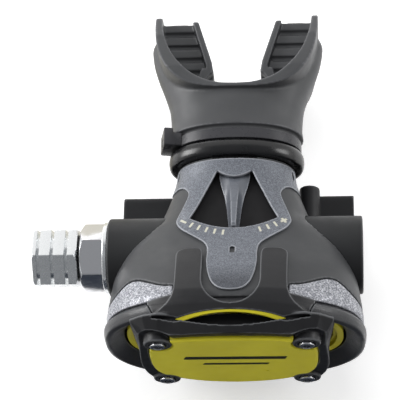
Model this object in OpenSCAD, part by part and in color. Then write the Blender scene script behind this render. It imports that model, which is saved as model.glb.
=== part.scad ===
// Diving second stage regulator with side inlet, top venturi lever and exhaust tee.
// X runs along the valve barrel with the inlet at -X, the purge cover faces -Y,
// the mouthpiece points to +Y and +Z is up.

/* [Barrel and inlet] */
// Height of the barrel axis above the face that the exhaust tee rests on
axis_h = 35; // [34.5:0.5:37]
// Distance between the two ends of the valve barrel
barrel_len = 87.2; // [85:0.2:90]
// Distance of the barrel's axis behind the mid plane
barrel_y = 1.5; // [0:0.1:2]
// Outside diameter of the barrel sleeves
barrel_d = 26.4; // [25.4:0.2:27.6]
// Outside diameter of the valve tube
tube_d = 14.3; // [13:0.1:15]
// Bore of the valve tube
tube_bore = 9; // [8:0.1:9.6]
// Size across the flats of the chrome case nut
nut_af = 20.6; // [19:0.1:22]
// Length of the chrome case nut
nut_len = 8; // [6:0.1:9]
// Diameter of the washer under the case nut
washer_d = 24.8; // [23.8:0.2:25.2]
// Thickness of the washer under the case nut
washer_t = 1.7; // [1:0.1:2.4]
// Size across the flats of the finned hose connector
fin_af = 19; // [17.6:0.1:20]
// Length of the finned hose connector
fin_len = 15.3; // [14.6:0.1:18]
// Distance from one cooling groove to the next
fin_pitch = 4.85; // [3.5:0.05:5]
// Width of a cooling groove
fin_gap = 1.1; // [0.6:0.1:1.8]
// Bore of the hose port in the connector
port_d = 8.6; // [7:0.1:9.4]

/* [Case] */
// Width of the case at its front rim
case_w = 86.4; // [84:0.4:90]
// Height of the case at its front rim
case_h = 63.6; // [61:0.2:64.6]
// Height of the rim's centre above the barrel axis
rim_rise = 1; // [0:0.5:2]
// Distance of the rim ahead of the mid plane
rim_y = 26; // [25:0.25:27.5]
// Width of the case's neck
neck_w = 43.6; // [42:0.2:45]
// Height of the case's neck
neck_h = 27.6; // [26.5:0.2:29]
// Distance of the neck's end behind the mid plane
neck_y = 33.4; // [33:0.2:36]
// Thickness of the case wall
wall = 2.4; // [1.8:0.1:2.8]
// Width of the oval spigot that the mouthpiece slides over
spigot_w = 37; // [35:0.2:38.4]
// Height of the oval spigot that the mouthpiece slides over
spigot_h = 22; // [20:0.2:23]
// Length of the oval spigot
spigot_len = 16; // [13:0.5:18]
// Width of the silver side trims, front to back
trim_w = 10.4; // [8:0.1:11]

/* [Front] */
// Depth of the front ring, from its back edge to its lip
ring_depth = 5; // [4.5:0.25:6.5]
// Width of the gap in the top of the front ring
ring_gap = 57; // [55:0.5:60]
// Width of the purge button
button_w = 56.4; // [52:0.4:58]
// Height of the purge button
button_h = 43.6; // [42:0.4:46]
// Height of the purge button's centre above the barrel axis
button_rise = 4; // [3:0.5:4.5]
// Distance of the purge button's face ahead of the mid plane
button_y = 38.5; // [38:0.25:40]
// Travel of the purge button
purge_travel = 2.5; // [1:0.1:2.8]
// Distance between the left and right screws
screw_dx = 48.6; // [46:0.2:50]
// Distance between the upper and lower screws
screw_dz = 34.6; // [32:0.2:36]
// Diameter of the screw bosses
boss_d = 9.4; // [8:0.1:10]
// Diameter of the screw heads
head_d = 5; // [4:0.1:6]
// Width of the slot across the top of the front, left to right
slot_w = 35.5; // [30:0.1:38]
// Width of that slot, front to back
slot_h = 4.5; // [3:0.1:4.6]
// Width of the prongs' outer edges
prong_w = 38; // [36:0.2:40]
// Width of the notch between the prongs
notch_w = 19; // [18:0.2:22]

/* [Top] */
// Thickness of the top cover
cover_t = 1; // [0.8:0.1:1.6]
// Width of the tongue of the top cover
tongue_w = 17; // [15:0.2:17.4]
// Distance of the lever's pivot behind the mid plane
pivot_y = 28.2; // [27.6:0.2:28.6]
// Reach of the venturi lever from its pivot
lever_reach = 24; // [22:0.2:24.4]
// Swing of the venturi lever to each side
lever_swing = 25; // [15:1:27]

/* [Mouthpiece and exhaust] */
// Width across the bite wings of the mouthpiece
mouth_w = 61.4; // [57:0.2:64]
// Distance of the mouthpiece's tips behind the mid plane
mouth_y = 93.9; // [90:0.1:96]
// Width of the exhaust tee
tee_w = 82; // [76:0.5:86]
// Wall of the exhaust tee
tee_wall = 1.8; // [1.2:0.1:2.2]
// Diameter of the exhaust valve
flap_d = 21; // [18:0.5:22]

/* [Hidden] */

// The exhaust tee's front and back, and the middle of the face that it rests on
tee_y0 = -12;
tee_y1 = 30;
rest_y = (tee_y0 + tee_y1) / 2;

// Clearances
slide_fit = 0.05;
part_gap = 0.15;
move_gap = 0.3;

// Points round one ring of a lofted form
around = 48;
$fn = 48;

// ---- shapes shared by the pieces -------------------------------------------

function signed_pow(v, p) = sign(v) * pow(abs(v), p);

// Closed superellipse with semi-axes a and b and squareness n
function oval(a, b, n = 2, count = around) = [
    for (i = [0 : count - 1]) let (t = 360 * i / count)
        [a * signed_pow(cos(t), 2 / n), b * signed_pow(sin(t), 2 / n)]
];

// The same curve set in the plane y, its centre raised by rise
function ring_at(y, a, b, rise = 0, n = 2) = [for (p = oval(a, b, n)) [p[0], y, p[1] + rise]];

// Side faces between rings j and k of a loft with n points each
function band(j, k, n) = [
    for (i = [0 : n - 1]) let (i2 = (i + 1) % n)
        each [[j * n + i, j * n + i2, k * n + i2], [j * n + i, k * n + i2, k * n + i]]
];

// Solid through rings that run towards +Y
module loft(rings) {
    n = len(rings[0]);
    m = len(rings);
    faces = concat(
        [[for (i = [n - 1 : -1 : 0]) i]],
        [for (j = [0 : m - 2]) each band(j, j + 1, n)],
        [[for (i = [0 : n - 1]) (m - 1) * n + i]]
    );
    polyhedron([for (r = rings) each r], faces, convexity = 8);
}

// Hollow solid whose rings run out along the outside and back along the inside
module shell(rings) {
    n = len(rings[0]);
    m = len(rings);
    polyhedron([for (r = rings) each r],
        [for (j = [0 : m - 1]) each band(j, (j + 1) % m, n)], convexity = 10);
}

// Helix of round wire along +Z, with its ends cut square
module coil(radius, wire, height, turns, steps = 10, sides = 6) {
    count = turns * steps;
    rise = (height - 2 * wire) / count;
    rings = [
        for (j = [0 : count]) let (a = 360 * j / steps) [
            for (i = [0 : sides - 1]) let (b = 360 * i / sides, r = radius + wire * cos(b))
                [r * cos(a), r * sin(a), wire + rise * j + wire * sin(b)]
        ]
    ];
    n = sides;
    m = len(rings);
    faces = concat(
        [[for (i = [n - 1 : -1 : 0]) i]],
        [for (j = [0 : m - 2]) each band(j, j + 1, n)],
        [[for (i = [0 : n - 1]) (m - 1) * n + i]]
    );
    polyhedron([for (r = rings) each r], faces, convexity = 10);
}

// The pieces are drawn about the mid plane, at the height of the barrel's axis, and set over
// the middle of the rest face
module at_axis() { translate([0, -rest_y, axis_h]) children(); }
// Pieces on the barrel are drawn about its axis
module at_barrel() { translate([0, barrel_y, 0]) children(); }
// Turns a shape drawn along +Z so that it runs along +X or +Y
module along_x() { rotate([0, 90, 0]) children(); }
module along_y() { rotate([-90, 0, 0]) children(); }
// Extrudes an outline drawn in X and Z from y0 to y1
module slab(y0, y1) { translate([0, y1, 0]) rotate([90, 0, 0]) linear_extrude(y1 - y0) children(); }
// Extrudes an outline drawn in Y and Z from -w / 2 to w / 2 in X
module across(w) { rotate([90, 0, 90]) linear_extrude(w, center = true) children(); }
module mirror_x() { children(); mirror([1, 0, 0]) children(); }
// Rod or ring along X from x0 to x1
module bar_x(x0, x1, d, bore = 0) {
    translate([x0, 0, 0]) along_x() difference() {
        cylinder(h = x1 - x0, d = d);
        if (bore > 0) translate([0, 0, -1]) cylinder(h = x1 - x0 + 2, d = bore);
    }
}
// Round seal of the given mean diameter, its axis along Z
module o_ring(mean_d, cord_d) {
    rotate_extrude() translate([mean_d / 2, 0]) circle(d = cord_d, $fn = 16);
}
// Hexagon rod along X with a chamfered end at each side that is asked for
module hex_x(x0, x1, af, chamfer0, chamfer1) {
    corner = af / cos(30);
    intersection() {
        translate([x0, 0, 0]) along_x() cylinder(h = x1 - x0, d = corner, $fn = 6);
        translate([x0, 0, 0]) along_x() rotate_extrude() polygon([
            [0, 0], [corner / 2 - chamfer0, 0], [corner / 2, chamfer0 * 0.6],
            [corner / 2, x1 - x0 - chamfer1 * 0.6], [corner / 2 - chamfer1, x1 - x0],
            [0, x1 - x0]
        ]);
    }
}

// ---- form of the case ------------------------------------------------------

flare_start = 27;
rim_a = case_w / 2;
rim_b = case_h / 2;
rim_top = rim_rise + rim_b;
rim_bottom = rim_rise - rim_b;
// How the case grows from its neck to its rim: the share of the way forward, the share of
// the growth at the sides, at the top and at the bottom, and the squareness of the section
flare = [
    [0, 0, 0, 0, 2.1], [0.067, 0.035, 0.02, 0.06, 2.12], [0.135, 0.084, 0.05, 0.15, 2.2],
    [0.245, 0.2, 0.09, 0.34, 2.45], [0.312, 0.32, 0.135, 0.48, 2.75], [0.395, 0.545, 0.2, 0.6, 3.15],
    [0.51, 0.775, 0.32, 0.72, 3.3], [0.623, 0.88, 0.5, 0.81, 3.1], [0.709, 0.965, 0.66, 0.88, 2.8],
    [0.83, 1.02, 0.845, 0.95, 2.5], [0.962, 1.015, 1, 1, 2.4], [1, 1, 1, 1, 2.4]
];
flare_sides = [for (f = flare) [f[0], f[1]]];
flare_tops = [for (f = flare) [f[0], f[2]]];
flare_bottoms = [for (f = flare) [f[0], f[3]]];
flare_squares = [for (f = flare) [f[0], f[4]]];
function mix(a, b, t) = a + (b - a) * t;
function case_t(y) = max(0, min(1, (flare_start - y) / (flare_start + rim_y)));
function case_a(y) = mix(neck_w / 2, rim_a, lookup(case_t(y), flare_sides));
function case_top(y) = mix(neck_h / 2, rim_top, lookup(case_t(y), flare_tops));
function case_bottom(y) = mix(-neck_h / 2, rim_bottom, lookup(case_t(y), flare_bottoms));
function case_n(y) = lookup(case_t(y), flare_squares);
// One ring of the case's outside, grown by g
function case_ring(y, g = 0) = ring_at(y, case_a(y) + g,
    (case_top(y) - case_bottom(y)) / 2 + g, (case_top(y) + case_bottom(y)) / 2, case_n(y));
// Stations of the flare, from the rim to the start of the neck
flare_y = [for (i = [len(flare) - 1 : -1 : 0]) mix(flare_start, -rim_y, flare[i][0])];
// A part of the case's form between two growths, from y0 to y1
function stations(y0, y1) = concat([y0], [for (y = flare_y) if (y > y0 + 0.2 && y < y1 - 0.2) y], [y1]);
module case_skin(g0, g1, y0, y1) {
    s = stations(y0, y1);
    shell(concat([for (y = s) case_ring(y, g1)],
        [for (i = [len(s) - 1 : -1 : 0]) case_ring(s[i], g0)]));
}
module case_form(g, y0, y1) { loft([for (y = stations(y0, y1)) case_ring(y, g)]); }

// The form ahead of the rim, where the front ring and the bridge's hood lie
ring_front = -rim_y - ring_depth;
ring_grow = 1.1;
frame_t = 4.2;
frame_front = -button_y + 1.3;
frame_back = frame_front + frame_t;
hood_t = 2.2;

// ---- top: lever pocket -----------------------------------------------------

// The lever's plane rises towards the front
lever_tilt = 10;
pivot_z = case_top(pivot_y) - 3.7;
lever_t = 2.4;
pocket_r = lever_reach + 2;
hub_r = 3.8;
module on_pivot() { translate([0, pivot_y, pivot_z]) rotate([-lever_tilt, 0, 0]) children(); }
// Straight sides that spread towards the front and end at an arc about the pivot
module fan(r, grow) {
    w0 = hub_r + 2.2 + grow;
    w1 = w0 + 30 * tan(lever_swing + 0.2);
    intersection() {
        circle(r = r, $fn = 96);
        polygon([[-w0, -1.2], [w0, -1.2], [w1, -31.2], [-w1, -31.2]]);
    }
}
module pocket_outline(grow) {
    circle(r = hub_r + 0.5 + grow, $fn = 32);
    // room for the lever's shoulders
    intersection() {
        circle(r = 7.4 + grow, $fn = 48);
        translate([-20, -38]) square([40, 40]);
    }
    fan(pocket_r + grow, 0.8 + grow);
}

// ---- case ------------------------------------------------------------------

seat_y = -19;
seat_in = 7;
flap_y = 15;
flap_z = -27;
port_r = flap_d / 2 - 2;
shaft_d = 4;

module case() {
    s = stations(-rim_y, neck_y);
    inner = [for (i = [len(s) - 1 : -1 : 0]) if (s[i] > -8) s[i]];
    color("#4c4d4f") difference() {
        union() {
            shell(concat(
                [for (y = s) case_ring(y)],
                [case_ring(neck_y, -wall - 1.4)],
                [for (y = inner) if (y < neck_y - 1) case_ring(y, -wall)],
                [case_ring(-12, -wall - 1), case_ring(seat_y, -seat_in),
                 case_ring(seat_y, -wall - 0.4), case_ring(-rim_y, -wall - 0.4)]
            ));
            spigot();
            // floor of the lever's pocket
            intersection() {
                on_pivot() translate([0, 0, -2.2]) linear_extrude(2.2) pocket_outline(1.6);
                case_form(-0.6, -8, neck_y - 0.5);
            }
            // seat of the exhaust valve
            translate([0, flap_y, flap_z]) cylinder(h = 9, r = flap_d / 2 + 1.5);
        }
        intersection() {
            case_skin(-trim_t, 1, -rim_y - 1, trim_reach);
            trim_zone(part_gap);
        }
        on_pivot() linear_extrude(12) pocket_outline(0);
        on_pivot() translate([0, 0, -8]) cylinder(h = 12, d = shaft_d + 2 * slide_fit, $fn = 32);
        at_barrel() along_x() cylinder(h = barrel_len + 20, d = barrel_d + 2 * slide_fit, center = true);
        translate([0, flap_y, flap_z - 6]) cylinder(h = 22, r = port_r);
        // the airway stays open through the seat and into the spigot
        slab(-10, neck_y + spigot_len + 1)
            polygon(oval(spigot_w / 2 - 2, spigot_h / 2 - 2, 2.4));
    }
    // spokes that carry the exhaust valve's button
    color("#4c4d4f") translate([0, flap_y, flap_z]) difference() {
        union() {
            for (a = [0, 60, 120]) rotate(a)
                translate([-port_r - 0.5, -0.8, 0]) cube([2 * port_r + 1, 1.6, 2]);
            cylinder(h = 2, r = 3);
        }
        translate([0, 0, -1]) cylinder(h = 4, d = 3, $fn = 24);
    }
}
trim_t = 1.4;
module spigot() {
    difference() {
        slab(neck_y - 2, neck_y + spigot_len) polygon(oval(spigot_w / 2, spigot_h / 2, 2.4));
        slab(neck_y - 3, neck_y + spigot_len + 1)
            polygon(oval(spigot_w / 2 - 2, spigot_h / 2 - 2, 2.4));
    }
}

// ---- barrel ----------------------------------------------------------------

barrel_end = barrel_len / 2;
barrel_in = 18;
module sleeve(bore) {
    rotate([0, 90, 0]) rotate_extrude() polygon([
        [bore / 2, barrel_in], [barrel_d / 2, barrel_in],
        [barrel_d / 2, barrel_end - 0.9], [barrel_d / 2 - 0.3, barrel_end - 0.3],
        [barrel_d / 2 - 0.9, barrel_end], [bore / 2, barrel_end]
    ]);
}
module left_barrel() {
    color("#2f3032") mirror([1, 0, 0]) sleeve(tube_d + 2 * slide_fit);
}
cap_d = 22;
cap_t = 3;
module right_barrel() {
    color("#2f3032") difference() {
        sleeve(tube_d + 2 * slide_fit);
        bar_x(barrel_end - cap_t, barrel_end + 1, cap_d + 2 * slide_fit);
    }
}
module end_cap() {
    color("#2b2c2e") difference() {
        union() {
            bar_x(barrel_end - cap_t, barrel_end - 0.4, cap_d);
            bar_x(barrel_end - cap_t - 3, barrel_end - cap_t, tube_d - 0.4);
        }
        // coin slot
        translate([barrel_end - 1.6, -1.1, -6]) cube([3, 2.2, 12]);
        bar_x(barrel_end - cap_t - 4, barrel_end - cap_t - 1, tube_d - 4);
    }
}

// ---- trims, ring and front -------------------------------------------------

// Sweeps a profile of [outwards, y] points round the rim from angle a0 to a1
module rim_sweep(profile, a0, a1, steps) {
    sections = [
        for (j = [0 : steps]) let (t = mix(a0, a1, j / steps)) [
            for (p = profile)
                [(rim_a + p[0]) * signed_pow(cos(t), 2 / 2.4), p[1],
                 (rim_b + p[0]) * signed_pow(sin(t), 2 / 2.4) + rim_rise]
        ]
    ];
    n = len(profile);
    faces = concat(
        [[for (i = [n - 1 : -1 : 0]) i]],
        [for (j = [0 : steps - 1]) each band(j, j + 1, n)],
        [[for (i = [0 : n - 1]) steps * n + i]]
    );
    polyhedron([for (r = sections) each r], faces, convexity = 10);
}

// The trims' outline seen from above: the ring's edge, then the wavy back edge
trim_back = -rim_y + trim_w;
module trim_plan(g) {
    x0 = prong_w / 2 + 0.6 - g;
    polygon([
        [x0, -rim_y + part_gap - g], [x0, trim_back - 4.7 + g], [23.5, trim_back - 4.3 + g],
        [26.1, trim_back - 3.5 + g], [28.9, trim_back - 2.5 + g], [31.7, trim_back - 1.2 + g],
        [33.8, trim_back + g], [35.2, trim_back + g], [36.5, trim_back - 1.1 + g],
        [38.6, trim_back - 4 + g], [42, trim_back - 6.8 + g], [48, trim_back - 8 + g],
        [48, -rim_y + part_gap - g]
    ]);
}
module trim_zone(g) { mirror_x() linear_extrude(120, center = true) trim_plan(g); }
trim_reach = trim_back + 3;
module side_trims() {
    color("#b8b9bf") difference() {
        intersection() {
            case_skin(slide_fit - trim_t, 0, -rim_y - 1, trim_reach);
            trim_zone(0);
        }
        at_barrel() bar_x(-60, 60, barrel_d + 2 * part_gap);
    }
}

// The ring's section as [outwards, y], whole and for the thinner piece that the bridge carries
ring_face = [
    [ring_grow - 2.2, ring_front], [ring_grow - 1, ring_front + 0.3],
    [ring_grow - 0.1, ring_front + 1.8], [ring_grow, -rim_y - 1.8],
    [ring_grow - 1.4, -rim_y - part_gap]
];
ring_out = concat(ring_face, [
    [ring_grow - 4.9, -rim_y - part_gap], [ring_grow - 5.6, -rim_y - 1.4],
    [ring_grow - 7.4, -rim_y - 1.8]
]);
ring_cap = concat(ring_face, [
    [ring_grow - 4.2, -rim_y - part_gap], [ring_grow - 4.2, -rim_y - 2.4]
]);
module ring_part(section, a0, a1, steps) {
    rim_sweep([for (i = [len(section) - 1 : -1 : 0]) section[i]], a0, a1, steps);
}
module gap_block(w) { translate([-w / 2, ring_front - 1, 0]) cube([w, ring_depth + 2, 60]); }
module front_ring() {
    color("#3a3a3c") difference() {
        ring_part(ring_out, -250, 70, 60);
        gap_block(ring_gap);
    }
}

// Outline of the front at the rim, grown by g, in X and Z
module rim_outline(g) { translate([0, rim_rise]) polygon(oval(rim_a + g, rim_b + g, 2.4)); }
// Outline of the case at y, grown by g
module case_outline(y, g) {
    translate([0, (case_top(y) + case_bottom(y)) / 2])
        polygon(oval(case_a(y) + g, (case_top(y) - case_bottom(y)) / 2 + g, case_n(y)));
}
cover_y = -rim_y - 0.8;
cover_back = cover_y + 1.8;
cover_in = ring_grow - 7.8;
post_d = 6.4;
spring_d = 11;
module button_spots() {
    for (x = [-1, 1], z = [-1, 1])
        translate([x * screw_dx / 2, 0, z * screw_dz / 2 + button_rise]) children();
}
// Lens-shaped outline of the slot, in X and Y, grown by g
slot_y = -32.9;
module slot_outline(g) {
    half = slot_w / 2 + g;
    rise = slot_h / 2 + g;
    r = (half * half + rise * rise) / (2 * rise);
    intersection() {
        translate([0, rise - r]) circle(r = r, $fn = 96);
        translate([0, r - rise]) circle(r = r, $fn = 96);
    }
}
module purge_cover() {
    color("#d8cf2e") difference() {
        union() {
            slab(cover_y, cover_back) rim_outline(cover_in);
            // outer lip that shows round the side vents
            difference() {
                slab(cover_y - 1.4, cover_y + 0.1) rim_outline(cover_in);
                slab(cover_y - 2, cover_y + 1) rim_outline(cover_in - 2.2);
            }
            // posts under the bridge
            button_spots() along_y() translate([0, 0, frame_back])
                cylinder(h = cover_y - frame_back + 0.2, d = post_d);
            // spring cup
            along_y() translate([0, 0, cover_back - 0.1]) cylinder(h = 2.6, d = spring_d + 3.6);
        }
        along_y() translate([0, 0, cover_y - 1]) cylinder(h = 3.2, d = spring_d + 0.6);
        along_y() translate([0, 0, cover_y - 1]) cylinder(h = 10, d = stem_d + 2 * slide_fit);
        button_spots() along_y() translate([0, 0, frame_back - 1])
            cylinder(h = 6, d = screw_d, $fn = 24);
        // side vents
        mirror_x() slab(cover_y - 3, cover_back + 1) intersection() {
            rim_outline(cover_in - 3.4);
            translate([screw_dx / 2 + 1.2, button_rise - 11]) square([14, 20]);
        }
        // water slots over the diaphragm
        for (z = [-10, 10], x = [-9, 0, 9]) slab(cover_y - 3, cover_back + 1)
            translate([x, z + rim_rise]) square([5, 3.4], center = true);
    }
}

// Deck of the bridge: a hood from the frame back over the ring and the case.
// Each line is [y, growth of the outside at the sides, at the top]
hood_back = -5.6;
hood_lines = [
    [frame_front, -4.6, -4.4], [-34.6, -2.4, -2], [-31.8, 0.2, 0.5],
    [-rim_y - 1, ring_grow + 0.8, ring_grow + 1.1]
];
module hood_skin() {
    s = stations(-rim_y - part_gap, hood_back);
    outer = concat(
        [for (h = hood_lines) ring_at(h[0], rim_a + h[1], rim_b + h[2], rim_rise, 2.4)],
        [for (y = s) case_ring(y, hood_t)]
    );
    inner = concat(
        [for (y = s) case_ring(y, part_gap)],
        [ring_at(-rim_y - 3 * part_gap, rim_a - 1.4, rim_b - 1.4, rim_rise, 2.4)],
        [for (h = hood_lines) if (h[0] < -rim_y - 2)
            ring_at(h[0], rim_a + h[1] - hood_t, rim_b + h[2] - hood_t, rim_rise, 2.4)]
    );
    front = len(s);
    shell(concat(outer,
        [for (i = [front - 1 : -1 : 0]) inner[i]],
        [inner[front]],
        [for (i = [len(inner) - 1 : -1 : front + 1]) inner[i]]));
}
// The notch's round end: where it starts and how deep it is
notch_y = -20.1;
notch_deep = 8.5;
module bridge_plan() {
    w = prong_w / 2;
    n = notch_w / 2;
    difference() {
        union() {
            // prongs with rounded tips
            mirror_x() hull() {
                translate([w - 2.4, hood_back - 2.6]) circle(r = 2.4, $fn = 24);
                translate([n + 1.2, hood_back - 1.4]) circle(r = 1.2, $fn = 24);
                translate([n, -26]) square([w - n, 2]);
            }
            // shoulders that spread to the frame
            polygon([
                [-w, -17], [-w - 0.4, -22.4], [-w - 1.4, -25.6], [-w - 2.8, -28.4], [-w - 4.6, -30.9],
                [-w - 6.6, -33], [-screw_dx / 2 - 3.1, -34.8], [-screw_dx / 2 - 3.3, frame_front],
                [screw_dx / 2 + 3.3, frame_front], [screw_dx / 2 + 3.1, -34.8], [w + 6.6, -33],
                [w + 4.6, -30.9], [w + 2.8, -28.4], [w + 1.4, -25.6], [w + 0.4, -22.4], [w, -17]
            ]);
        }
        // notch between the prongs
        translate([-n, notch_y]) square([2 * n, 40]);
        translate([0, notch_y]) scale([n, notch_deep]) circle(r = 1, $fn = 64);
        translate([0, slot_y]) slot_outline(0);
    }
}
screw_d = 3;
module frame_outline(g) {
    offset(r = g) union() {
        translate([0, button_rise]) polygon(oval(button_w / 2 + 1, button_h / 2, 4));
        for (x = [-1, 1], z = [-1, 1])
            translate([x * screw_dx / 2, z * screw_dz / 2 + button_rise])
                circle(d = boss_d - 1, $fn = 32);
    }
}
module button_outline(g) {
    difference() {
        translate([0, button_rise]) polygon(oval(button_w / 2 + g, button_h / 2 + g, 4, 72));
        for (x = [-1, 1], z = [-1, 1])
            translate([x * screw_dx / 2, z * screw_dz / 2 + button_rise])
                circle(d = boss_d + 2 * move_gap - 2 * g, $fn = 32);
    }
}
module front_bridge() {
    color("#333335") difference() {
        union() {
            difference() {
                union() {
                    slab(frame_front, frame_back) frame_outline(1.6);
                    intersection() {
                        hood_skin();
                        linear_extrude(80) bridge_plan();
                    }
                    // piece of the ring between its ends
                    intersection() {
                        ring_part(ring_cap, 46, 134, 16);
                        gap_block(ring_gap - 2 * part_gap);
                    }
                }
                slab(frame_front - 1, frame_back + purge_travel + 2) button_outline(move_gap);
            }
            button_spots() along_y() translate([0, 0, -button_y - 1])
                cylinder(h = button_y + 1 + frame_back, d = boss_d);
        }
        button_spots() along_y() translate([0, 0, -button_y - 2]) {
            cylinder(h = 10, d = screw_d + 0.4, $fn = 24);
        }
    }
}
head_t = 1.8;
module bridge_screws() {
    color("#c9cacc") button_spots() along_y() difference() {
        union() {
            translate([0, 0, -button_y - 1 - head_t]) rotate_extrude() polygon([
                [0, 0], [head_d / 2 - 0.5, 0], [head_d / 2, 0.5], [head_d / 2, head_t], [0, head_t]
            ]);
            translate([0, 0, -button_y - 1])
                cylinder(h = button_y + 1 + frame_back + 3, d = screw_d - 0.1, $fn = 24);
        }
        translate([0, 0, -button_y - 2 - head_t]) cylinder(h = 2, d = 2.9, $fn = 6);
    }
}
button_t = 3;
flange_t = 1;
stem_d = 5;
stem_back = seat_y - 2.2;
module purge_button() {
    color("#dcd334") {
        bevel = 0.8;
        slab(-button_y + bevel, -button_y + button_t) button_outline(0);
        slab(-button_y + bevel / 2, -button_y + bevel) button_outline(-bevel * 0.35);
        slab(-button_y, -button_y + bevel / 2) button_outline(-bevel);
        // flange that stops the button behind the frame
        slab(-button_y + button_t, frame_back + 0.1 + flange_t) button_outline(-0.2);
        slab(frame_back + 0.1, frame_back + 0.1 + flange_t)
            translate([0, button_rise]) polygon(oval(button_w / 2 + 1, screw_dz / 2 - 6, 4));
        along_y() translate([0, 0, -button_y + 1]) cylinder(h = button_y - 1 + stem_back, d = stem_d);
    }
}
module purge_spring() {
    y0 = frame_back + 0.1 + flange_t;
    y1 = cover_y + 2.2;
    color("#aeb0b3") translate([0, y0, 0]) along_y() coil(spring_d / 2 - 1, 0.35, y1 - y0, 3, 12);
}

// ---- diaphragm and demand lever --------------------------------------------

disc_t = 0.7;
disc_boss = 7;
module diaphragm() {
    g = -wall - 0.8;
    color("#6e7072") difference() {
        slab(seat_y - 2, seat_y - slide_fit) case_outline(seat_y, g);
        slab(seat_y - 3, seat_y - 0.9) case_outline(seat_y, g - 4);
        along_y() translate([0, 0, seat_y - 3]) cylinder(h = 4, d = disc_boss + 2 * move_gap);
        // rolling convolution
        slab(seat_y - 0.4, seat_y + 1) difference() {
            case_outline(seat_y, g - 6);
            case_outline(seat_y, g - 9);
        }
    }
}
module diaphragm_disc() {
    color("#8d9094") along_y() translate([0, 0, seat_y + slide_fit]) rotate_extrude() polygon([
        [0, stem_back - seat_y + 0.05], [disc_boss / 2 - 0.4, stem_back - seat_y + 0.05],
        [disc_boss / 2, stem_back - seat_y + 0.45], [disc_boss / 2, 0], [13, 0], [14, 0.5],
        [14, 1], [11, 1], [10, disc_t], [0, disc_t]
    ]);
}

lever_x = 6;
lever_y = -tube_d / 2 - 1.8;
pad_x = -8;
pad_y = seat_y - barrel_y + slide_fit + disc_t + move_gap;
pin_d = 1.6;
module lever_spot() { translate([lever_x, lever_y, 0]) children(); }
module demand_lever() {
    color("#c3c5c8") difference() {
        union() {
            lever_spot() cylinder(h = 8, d = 3.8, center = true);
            // arm to the disc
            translate([0, 0, -2]) linear_extrude(4) polygon([
                [lever_x, lever_y - 1.8], [lever_x - 2, lever_y - 1.6], [pad_x + 2, pad_y + 0.6],
                [pad_x, pad_y], [pad_x - 1.6, pad_y + 0.6], [pad_x - 1, pad_y + 1.7],
                [pad_x + 2, pad_y + 1.7], [lever_x - 2.4, lever_y + 0.6], [lever_x, lever_y + 1.6]
            ]);
            // toe between the poppet's collars
            translate([0, 0, -2]) linear_extrude(4) polygon([
                [lever_x + 0.9, lever_y], [lever_x - 0.9, lever_y],
                [lever_x - 0.8, lever_y + 5.4], [lever_x + 0.8, lever_y + 5.4]
            ]);
        }
        lever_spot() cylinder(h = 20, d = pin_d + 2 * slide_fit, center = true, $fn = 24);
    }
}
module lever_pin() {
    color("#d0d2d4") lever_spot() cylinder(h = 13, d = pin_d, center = true, $fn = 24);
}

// ---- valve -----------------------------------------------------------------

tube_x0 = -barrel_end - washer_t - nut_len - 7.5;
tube_x1 = 30;
module valve_tube() {
    color("#c8c9cb") difference() {
        union() {
            bar_x(tube_x0, tube_x1, tube_d);
            // ears that hold the lever's pin
            for (z = [-1, 1]) lever_spot() translate([-2.4, -2.4, z * 5.4 - 1]) cube([4.8, 8, 2]);
        }
        bar_x(tube_x0 - 1, tube_x1 + 1, tube_bore);
        // slot for the lever's toe
        translate([lever_x - 3.4, -tube_d, -2.4]) cube([6.8, tube_d, 4.8]);
        // air outlet towards the mouthpiece
        for (x = [-12, -6, 0]) translate([x, 0, 0]) along_y() cylinder(h = tube_d, d = 4);
        lever_spot() cylinder(h = 20, d = pin_d, center = true, $fn = 24);
    }
}
orifice_x = -34;
module orifice() {
    color("#c9a64f") translate([orifice_x, 0, 0]) along_x() rotate_extrude() polygon([
        [1.6, 0], [tube_bore / 2 - slide_fit, 0], [tube_bore / 2 - slide_fit, 3.4],
        [tube_bore / 2 - 1.2, 3.4], [tube_bore / 2 - 1.2, 4.6], [tube_bore / 2 - slide_fit, 4.6],
        [tube_bore / 2 - slide_fit, 7.4], [3, 7.4], [2.4, 9], [1.6, 9]
    ]);
}
module orifice_o_ring() {
    color("#1c1c1d") translate([orifice_x + 4, 0, 0]) along_x()
        o_ring(tube_bore - 1.2, 1.1);
}
seat_x = orifice_x + 9 + 0.05;
module poppet_seat() {
    color("#3b3d40") bar_x(seat_x, seat_x + 1.8, 5.6);
}
toe_gap = 0.3;
poppet_x1 = 12;
module poppet() {
    x0 = seat_x + 1.8 + 0.02;
    color("#b9bbbe") difference() {
        union() {
            bar_x(x0, x0 + 4, tube_bore - 2 * slide_fit);
            bar_x(x0 + 4, lever_x - 0.9 - toe_gap - 2, 5);
            bar_x(lever_x - 0.9 - toe_gap - 2, lever_x - 0.9 - toe_gap, tube_bore - 2 * slide_fit);
            bar_x(lever_x - 0.9 - toe_gap, lever_x + 0.9 + toe_gap, 2.6);
            bar_x(lever_x + 0.9 + toe_gap, poppet_x1, tube_bore - 2 * slide_fit);
            bar_x(poppet_x1, poppet_x1 + 9, 3);
        }
    }
}
plug_x = 24;
module poppet_spring() {
    color("#aeb0b3") translate([poppet_x1 + 0.05, 0, 0]) along_x()
        coil(2.9, 0.4, plug_x - poppet_x1 - 0.1, 7, 10);
}
module spring_plug() {
    color("#c9a64f") difference() {
        bar_x(plug_x, tube_x1 - 0.6, tube_bore - 2 * slide_fit);
        translate([tube_x1 - 2.2, 0, 0]) along_x() cylinder(h = 3, d = 4.6, $fn = 6);
        bar_x(plug_x - 1, plug_x + 1.6, 3.4);
    }
}
nut_x1 = -barrel_end - washer_t;
nut_x0 = nut_x1 - nut_len;
module case_nut() {
    color("#d9dadc") difference() {
        rotate([hex_turn + 30, 0, 0]) hex_x(nut_x0, nut_x1 - slide_fit, nut_af, 2, 0.3);
        bar_x(nut_x0 - 1, nut_x1 + 1, tube_d + 2 * slide_fit);
    }
}
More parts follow.
